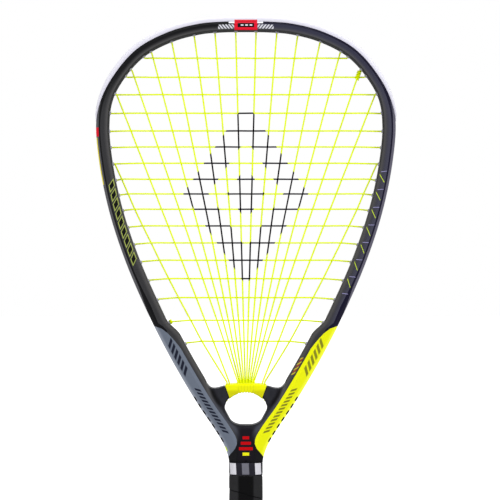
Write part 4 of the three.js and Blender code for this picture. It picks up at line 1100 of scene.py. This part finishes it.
def make_yoke(material):
    """A flat net between the outer edge and the opening, given its depth point by point."""
    right = yoke_edge()
    outer, opening = [*right, *mirrored(right)], throat_outline()
    columns = np.arange(-YOKE_GRID_HALF, YOKE_GRID_HALF + 0.0001, YOKE_GRID)
    inside = [(x, z) for x in columns for z in np.arange(HANDLE + 0.002, YOKE_GRID_TOP, YOKE_GRID)]
    n, m = len(outer), len(opening)
    points = [Vector(p) for p in (*outer, *opening, *inside)]
    edges = ring_edges(n) + [(n + a, n + b) for a, b in ring_edges(m)]
    made = delaunay_2d_cdt(points, edges, [list(reversed(range(n))), list(range(n, n + m))], 0, 1e-9)
    flat = [tuple(p) for p in made[0]]
    kept = [corners for corners, from_faces in zip(made[2], made[5]) if list(from_faces) == [0]]
    depths = yoke_depth(flat, opening)
    shape = Shape()
    shape.plate(flat, kept, -depths, depths)
    obj = softened(shape.build("yoke_body", material), 0.00045, 10)
    places = [(v.co.x, v.co.z) for v in obj.data.vertices]
    for name, values in zip(("beyond", "panel"), past_edges(places)):
        add_mark(obj.data, name, values)
    return obj


def insert_outlines():
    """The insert from the front: the saddle that hangs over the opening's roof, and the lid on the bar."""
    roof = []
    for x in np.linspace(0, THROAT_HALF_WIDTH, 60):
        z = throat_roof(x, SADDLE_REACH)
        if x > INSERT_FOOT[0] + INSERT_SLOPE * (z - INSERT_FOOT[1]):
            break
        roof.append((x, z))
    top_half = INSERT_HALF - INSERT_SLOPE * LID_ARCH
    top = [(x, INSERT_TOP - LID_ARCH * (x / top_half) ** 2) for x in np.linspace(top_half, 0, 14)]
    foot = BAR_TOP + GAP
    foot_half = INSERT_HALF - INSERT_SLOPE * (INSERT_TOP - foot)
    saddle = [*roof, *top, *mirrored([*roof, *top][1:-1])]
    return saddle, [(-foot_half, foot), (foot_half, foot), *top, *mirrored(top[:-1])]


def make_insert(material):
    """The saddle in front of the bar and behind it, the lid, and tongues through the bar for the strings."""
    saddle, lid = insert_outlines()
    shape = Shape()
    shape.prism(saddle, INSERT_FRONT, -BAR_HALF - GAP)
    shape.prism(saddle, BAR_HALF + GAP, -INSERT_FRONT)
    shape.prism(lid, INSERT_FRONT, -INSERT_FRONT)
    inner = BRIDGE_PITCH * (len(MAIN_TOP_SHARES) - 0.5)
    for low, high in ((-inner, inner), (PAIR_INNER, PAIR_OUTER), (-PAIR_OUTER, -PAIR_INNER)):
        across = np.linspace(low - TONGUE_MARGIN, high + TONGUE_MARGIN, 16)
        tongue = [(x, throat_roof(x, TONGUE_REACH)) for x in across if abs(x) < THROAT_HALF_WIDTH - 0.0006]
        top = [(x, BAR_TOP + 0.001) for x in (tongue[-1][0], tongue[0][0])]
        shape.prism([*tongue, *top], -TONGUE_HALF_DEPTH, TONGUE_HALF_DEPTH)
    return softened(shape.build("insert_saddle", material), 0.00033, 5)


# Strings

STRING_LINE = STRIP_FACE - GAP - STRING_RADIUS
BRIDGE_HALF = [BRIDGE_PITCH * (i + 0.5) for i in range(len(MAIN_TOP_SHARES))] + [PAIR_INNER, PAIR_OUTER]
BRIDGE_SPANS = [*[-x for x in reversed(BRIDGE_HALF)], *BRIDGE_HALF]
BRIDGE_PLACES = [np.array([x, BRIDGE_ROW if i % 2 else -BRIDGE_ROW]) for i, x in enumerate(BRIDGE_SPANS)]
MAIN_COUNT = len(BRIDGE_PLACES)


def way_out(distance, side, row, heading):
    """A string's way from a barrel's mouth through the frame to the channel outside."""
    station = Station(distance, side)
    return [
        station.mouth(row), station.at(station.width / 2, row),
        station.at(STRING_LINE + 2 * STRING_BEND, row),
        station.at(STRING_LINE + STRING_BEND / 3, row, heading * STRING_BEND / 3),
        station.at(STRING_LINE, row, heading * 2 * STRING_BEND),
    ]


def outside_loop(start, end, side, row_start, row_end):
    """Out through one hole, along the channel and in through another."""
    heading = math.copysign(1, end - start)
    count = max(math.ceil(abs(end - start) / STRING_STEP), 2)
    run = []
    for t in ((i + 1) / count for i in range(count - 1)):
        row = row_start + (row_end - row_start) * t
        run.append(Station(start + (end - start) * t, side).at(STRING_LINE, row))
    return [*way_out(start, side, row_start, heading), *run, *way_out(end, side, row_end, -heading)[::-1]]


def main_line(index):
    """One main string: its side, its hole's distance, and its ends at the hoop and at the bridge."""
    side = -1 if index < MAIN_COUNT // 2 else 1
    number = index - MAIN_COUNT // 2 if side > 0 else MAIN_COUNT // 2 - 1 - index
    distance = MAIN_DISTANCES[number]
    foot = np.array([*BRIDGE_PLACES[index], INSERT_TOP + MOUTH_CLEARANCE])
    return side, distance, Station(distance, side).mouth(-ROW_OFFSET), foot


MAINS = [main_line(index) for index in range(MAIN_COUNT)]


def crossing(main, cross, way):
    """Where a main string passes a cross string's height, over or under it; None if it doesn't reach it."""
    _, _, top, foot = MAINS[main]
    height = CROSS_HEIGHTS[cross]
    if height >= top[2] - CROSSING_MARGIN:
        return None
    share = (height - foot[2]) / (top[2] - foot[2])
    x = foot[0] + (top[0] - foot[0]) * share
    if main in (0, MAIN_COUNT - 1):
        x += math.copysign(OUTER_BOW * table(OUTER_BOW_SHARES, share), x)
    return np.array([x, WEAVE_HEIGHT * (way if (main + cross) % 2 else -way), height])


def woven(first, pairs, way, last):
    """A run from end to end past its crossings, with more points near its ends, where alone it bends."""
    found = [crossing(main, cross, way) for main, cross in pairs]
    middle = [point for point in found if point is not None]

    def near(end, towards):
        length = np.linalg.norm(towards - end)
        return [end + (towards - end) * (reach / length) for reach in NEAR_MOUTH if reach < length / 2]

    return [first, *near(first, middle[0]), *middle, *reversed(near(last, middle[-1])), last]


def bridge_turn(start, end):
    """Down at one place (x, row), along under the bridge and up at another."""
    count = max(1, round(abs(end[0] - start[0]) / (2 * BRIDGE_PITCH))) + 1
    levels = [(start, THROAT_TOP + BRIDGE_RISE), (start, throat_roof(start[0]) - BRIDGE_DROP)]
    for i in range(count):
        place = start + (end - start) * ((i + 0.5) / count)
        levels.append((place, throat_roof(place[0]) - BRIDGE_DROP - STRING_BEND / 4))
    levels += [(end, throat_roof(end[0]) - BRIDGE_DROP), (end, THROAT_TOP + BRIDGE_RISE)]
    return [np.array([*place, z]) for place, z in levels]


def bridge_tail(place):
    """The end of the mains' string, flattened against the opening's wall."""
    return [np.array([*place, throat_roof(place[0]) - reach]) for reach in (0.0006, 0.0, -0.002)]


def main_path():
    points = bridge_tail(BRIDGE_PLACES[0])
    for index, (side, distance, top, foot) in enumerate(MAINS):
        up = index % 2 == 0
        run = woven(top, [(index, cross) for cross in range(len(CROSS_HEIGHTS))], 1, foot)[1:]
        points += run[::-1] if up else run
        if index == MAIN_COUNT - 1:
            break
        if up:
            points += outside_loop(distance, MAINS[index + 1][1], side, -ROW_OFFSET, -ROW_OFFSET)
        else:
            points += bridge_turn(BRIDGE_PLACES[index], BRIDGE_PLACES[index + 1])
    return [*points, *bridge_tail(BRIDGE_PLACES[-1])[::-1]]


def knot_end(distance, side, row):
    return Station(distance, side).mouth(row + math.copysign(0.00075, row), 0.0021)


def cross_path():
    first = outside_loop(TAIL_START, CROSS_DISTANCES[0], 1, ROW_OFFSET, ROW_OFFSET)
    points = [knot_end(TAIL_START, 1, ROW_OFFSET), *first]
    last = (TAIL_END, -1, -ROW_OFFSET)
    for cross, distance in enumerate(CROSS_DISTANCES):
        to_left = cross % 2 == 0
        mouths = [Station(distance, s).mouth(ROW_OFFSET) for s in (-1, 1)]
        run = woven(mouths[0], [(main, cross) for main in range(MAIN_COUNT)], -1, mouths[1])[1:-1]
        points += run[::-1] if to_left else run
        onwards = [(d, -1 if to_left else 1, ROW_OFFSET) for d in CROSS_DISTANCES[cross + 1:cross + 2]]
        end, side, row = (*onwards, last)[0]
        points += outside_loop(distance, end, side, ROW_OFFSET, row)
    return [*points, knot_end(*last)]


def hitch(shape, start, towards, turns, reach, tail):
    """Half hitches: the string's end wound round its neighbour from a point, with a short cut tail."""
    ahead = (towards - start) / np.linalg.norm(towards - start)
    side = np.cross(ahead, (0, 1, 0))
    side /= np.linalg.norm(side)
    up = np.cross(side, ahead)
    points = []
    for k in range(turns * KNOT_STEPS + 1):
        angle = 2 * math.pi * k / KNOT_STEPS
        centre = start + ahead * (reach * k / (turns * KNOT_STEPS))
        points.append(centre + KNOT_RADIUS * (math.cos(angle) * side + math.sin(angle) * up))
    points.append(points[-1] + tail * (ahead + 0.3 * side))
    tube(shape, catmull_rom(points, 3), KNOT_STRING, 8)


def string_shape(path):
    shape = Shape()
    tube(shape, even(catmull_rom(path, 10), 0.0011), STRING_RADIUS)
    return shape


def make_crosses(material):
    shape = string_shape(cross_path())
    main = MAINS[MAIN_COUNT // 2 + TIE_OFF_MAIN - 1]
    hitch(shape, Station(TAIL_START, 1).mouth(-ROW_OFFSET, 0.001), main[3], 5, 0.0078, 0.0006)
    end = Station(TAIL_END, -1)
    hitch(shape, end.mouth(-ROW_OFFSET, 0.0002), end.at(end.width + 0.05, -ROW_OFFSET), 2, 0.0016, 0.0005)
    return shape.build("cross_strings", material)


# Handle

def octagon_ring(half_x, half_y, height, rounding):
    cut = OCTAGON_SHARE * half_y
    corners = [
        (half_x, -half_y + cut), (half_x, half_y - cut), (half_x - cut, half_y), (-half_x + cut, half_y),
        (-half_x, half_y - cut), (-half_x, -half_y + cut), (-half_x + cut, -half_y), (half_x - cut, -half_y),
    ]
    return [np.array([x, y, height]) for x, y in rounded([(x, y, rounding) for x, y in corners], 5)]


def ring_of(radius, height):
    """A circle whose points match those of an octagon ring."""
    ring = []
    for x, y, _ in octagon_ring(*GRIP_HALF, height, 0.003):
        angle = math.atan2(y / GRIP_HALF[1], x / GRIP_HALF[0])
        ring.append(np.array([radius * math.cos(angle), radius * math.sin(angle), height]))
    return ring


def make_grip(material):
    """A strip wound up the handle, each turn lapping the one below."""
    low, high = (corner.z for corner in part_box("grip"))
    outline = octagon_ring(*GRIP_HALF, 0, 0.0035)
    outline = even([*outline, outline[0]], 0.0016)[:-1]
    rings = []
    for z in steps_between(low, high, 0.0006):
        end = min(ease(0, 1, (z - low) / GRIP_END), ease(0, 1, (high - z) / GRIP_END))
        ring = []
        for x, y, _ in outline:
            turn = (z / GRIP_PITCH + math.atan2(y, x) / (2 * math.pi)) % 1.0
            sink = GRIP_LAP * turn**3 + 0.0005 * (1 - end)
            shrunk = 1 - sink / math.hypot(x, y)
            ring.append(np.array([x * shrunk, y * shrunk, z]))
        rings.append(ring)
    return lofted("grip_wrap", material, rings, 50)


def make_collar(material):
    """A ring with rolled ends and a fine groove near its foot."""
    low, high = (corner.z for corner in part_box("collar"))
    rings = []
    for z in steps_between(low, high, 0.0005):
        end = min((z - low) / COLLAR_ROLL, (high - z) / COLLAR_ROLL, 1.0)
        sink = COLLAR_SINK * (1 - math.sqrt(max(0.0, 1 - (1 - end) ** 2)))
        groove = GROOVE_DEPTH if low + COLLAR_GROOVE[0] < z < low + COLLAR_GROOVE[1] else 0.0
        rings.append(octagon_ring(*[h - sink - groove for h in GRIP_HALF], z, 0.0036))
    return lofted("collar_ring", material, rings, 60)


def make_cap(material):
    """The butt cap: a hole in a sink, a flange with a rolled edge, and a skirt round a bore."""
    half_x, half_y, skirt_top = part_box("butt_cap")[1]
    rings = [ring_of(CAP_HOLE, 0.004), ring_of(CAP_HOLE, 0.0014), ring_of(CAP_SINK, 0.0014)]
    rings += [ring_of(CAP_SINK, 0.0003), ring_of(CAP_SINK + 0.0003, 0.0)]
    for share, rise in CAP_EDGE:
        rings.append(octagon_ring(half_x * share, half_y * share, rise, 0.006))
    for rise, drawn in CAP_SHOULDER:
        halves = [h - (h - g) * drawn for h, g in zip((half_x, half_y), GRIP_HALF)]
        rings.append(octagon_ring(*halves, rise, 0.005))
    seat = [h - SKIRT_SINK for h in GRIP_HALF]
    inner = [h - SKIRT_THICKNESS for h in seat]
    rings += [octagon_ring(*seat, height, 0.003) for height in (CAP_FLANGE - GAP, skirt_top)]
    rings += [octagon_ring(*inner, height, 0.003) for height in (skirt_top, SKIRT_FLOOR)]
    rings += [ring_of(CAP_BORE, 0.012), ring_of(CAP_BORE, 0.004)]
    return lofted("cap_flange", material, rings, 40, closed=True)


def make_eyelet(material):
    """A brass ring with a rolled flange, turned from its profile."""
    low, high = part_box("tether_eyelet")
    hole, base, top, flange = EYELET_HOLE, low.z, high.z, high.x
    profile = [(hole, top - 0.0002), (hole, base + 0.0006)]
    profile += [(hole + 0.0002, base + 0.0002), (hole + 0.0006, base)]
    profile += [(flange + out, base + up) for out, up in EYELET_EDGE]
    profile += [(hole + 0.0008, base + 0.0008), (hole + 0.0007, base + 0.0011)]
    profile += [(hole + 0.0007, top - 0.0001), (hole + 0.0004, top)]
    rings = [[np.array([r * math.cos(a), r * math.sin(a), z]) for r, z in profile] for a in turns_of(64)]
    return lofted("eyelet_ring", material, rings, 50, closed=True)


# Scene

def stage_paint(name, near_glow, far_glow):
    """Pale and matt, lifted towards white for the camera and in mirrors, least where the shadow falls."""
    paint = Paint(name, Roughness=0.9, Specular_IOR_Level=0.1, Emission_Color=(1, 1, 1, 1))
    x, y, _ = paint.axes()
    colour = paint.mix(paint.noise(0.4, 2), tone(238, 238, 239), tone(242, 242, 243))
    away = paint.math("SQRT", x * x + y * y)
    glow = away.rise(0.5, 2.0) * (far_glow - near_glow) + near_glow
    paint.feed(colour, paint.shader["Base Color"])
    paint.feed(paint.seen_plainly() & glow, paint.shader["Emission Strength"])
    return paint.material


def make_stage():
    shape = Shape()
    reach = 9.0
    shape.points = [(-reach, -reach, 0), (reach, -reach, 0), (reach, reach, 0), (-reach, reach, 0)]
    shape.add((0, 1, 2, 3))
    shape.build("floor", stage_paint("pale_floor", 0.1, 0.75))


def make_world():
    """Soft light on everything, and plain white where the camera sees the world itself or in a mirror."""
    world = bpy.data.worlds.new("studio")
    bpy.context.scene.world = world
    world.use_nodes = True
    world.node_tree.nodes.clear()
    nodes = Nodes(world.node_tree)
    soft, white = (nodes.node("Background", {"Color": (1, 1, 1, 1), "Strength": s}) for s in (0.55, 1.0))
    light = nodes.node("MixShader", {0: nodes.seen_plainly(), 1: soft, 2: white})
    nodes.feed(light, world.node_tree.nodes.new("ShaderNodeOutputWorld").inputs[0])


def make_lights():
    """Three soft lamps: place, size and power."""
    lamps = {
        "key": ((1.5, -1.9, 1.7), 1.3, 34),
        "fill": ((-1.9, -1.5, 0.9), 1.5, 15),
        "top": ((0, 0.4, 2.4), 1.6, 16),
    }
    for name, (place, size, power) in lamps.items():
        light = bpy.data.lights.new(name, "AREA")
        light.energy, light.size = power, size
        lamp = bpy.data.objects.new(name, light)
        lamp.location = place
        lamp.rotation_euler = (Vector((0, 0, 0.36)) - Vector(place)).to_track_quat("-Z", "Y").to_euler()
        bpy.context.scene.collection.objects.link(lamp)


def make_camera():
    camera = bpy.data.objects.new("camera", bpy.data.cameras.new("camera"))
    camera.data.sensor_width = 36
    camera.data.lens = FOCAL_PIXELS / PHOTO_SIZE * camera.data.sensor_width
    middle = (PHOTO_CENTRE - MIDDLE_COLUMN) * PIXEL
    camera.location = (middle, -FOCAL_PIXELS * PIXEL, row_height(PHOTO_CENTRE))
    camera.rotation_euler = (math.pi / 2, 0, 0)
    bpy.context.scene.collection.objects.link(camera)
    bpy.context.scene.camera = camera


make_camera()
make_world()
make_lights()
make_stage()

grommet = plain_paint(
    "grey_nylon", (150, 150, 158), (176, 176, 186), 0.002, (0.35, 0.5), detail=3,
    Specular_IOR_Level=0.4, Subsurface_Weight=0.1, Subsurface_Radius=PALE_SCATTER,
)
nylon = plain_paint(
    "black_nylon", (16, 16, 19), (34, 34, 38), 0.006, (0.42, 0.6), 0.00001, detail=4, grain=(0.0006, 2),
    Specular_IOR_Level=0.2,
)
neon = string_paint()
steel = plain_paint(
    "staple_steel", (150, 152, 158), (190, 192, 198), 0.002, (0.25, 0.45), 0.00001, Metallic=1.0
)
rubber = plain_paint(
    "cap_rubber", (16, 16, 18), (32, 32, 36), 0.005, (0.5, 0.7), 0.00003, Specular_IOR_Level=0.15
)
brass = plain_paint(
    "eyelet_brass", (176, 146, 82), (198, 170, 104), 0.003, (0.25, 0.4), 0.00001, Metallic=1.0
)
foam = plain_paint("core_foam", (206, 188, 132), (226, 212, 164), 0.0012, (0.85, 0.95), 0.0002)
plastic = plain_paint("moulded_pallet", (122, 120, 110), (150, 148, 138), 0.006, (0.6, 0.8), 0.00005)
tape = plain_paint("finishing_tape", (34, 34, 38), (48, 48, 54), 0.002, (0.5, 0.7), 0.00003)

for piece, slot, node in (
    (make_frame(frame_paint()), "frame", "frame"),
    (make_yoke(yoke_paint()), "yoke", "throat_yoke"),
    (make_insert(insert_paint()), "insert", "throat_insert"),
    (make_bumper(bumper_paint(), grommet), "bumper", "bumper_guard"),
    (make_strip(-1, "strip_left", nylon, grommet), "strips", "grommet_strip_left"),
    (make_strip(1, "strip_right", nylon, grommet), "strips", "grommet_strip_right"),
    (string_shape(main_path()).build("main_strings", neon), "string", "main_string"),
    (make_crosses(neon), "string", "cross_string"),
    (make_grip(grip_paint()), "grip", "grip"),
    (make_collar(collar_paint()), "collar", "collar"),
    (make_cap(rubber), "cap", "butt_cap"),
    (make_eyelet(brass), "eyelet", "tether_eyelet"),
):
    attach(piece, "root")
    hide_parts(node)

# CAD nodes that stay as they are, each with its own material
cap_staples = [f"cap_staple_{depth}_{side}" for depth in ("front", "back") for side in ("left", "right")]
for material, nodes in (
    (foam, ["leg_core_left", "leg_core_right"]), (plastic, ["pallet_front", "pallet_back"]),
    (tape, ["finishing_tape"]), (steel, ["grip_staple", "tether_pin", *cap_staples]),
):
    for node in nodes:
        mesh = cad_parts[node].data
        mesh.materials.clear()
        mesh.materials.append(material)

bpy.context.scene.view_settings.view_transform = "Standard"
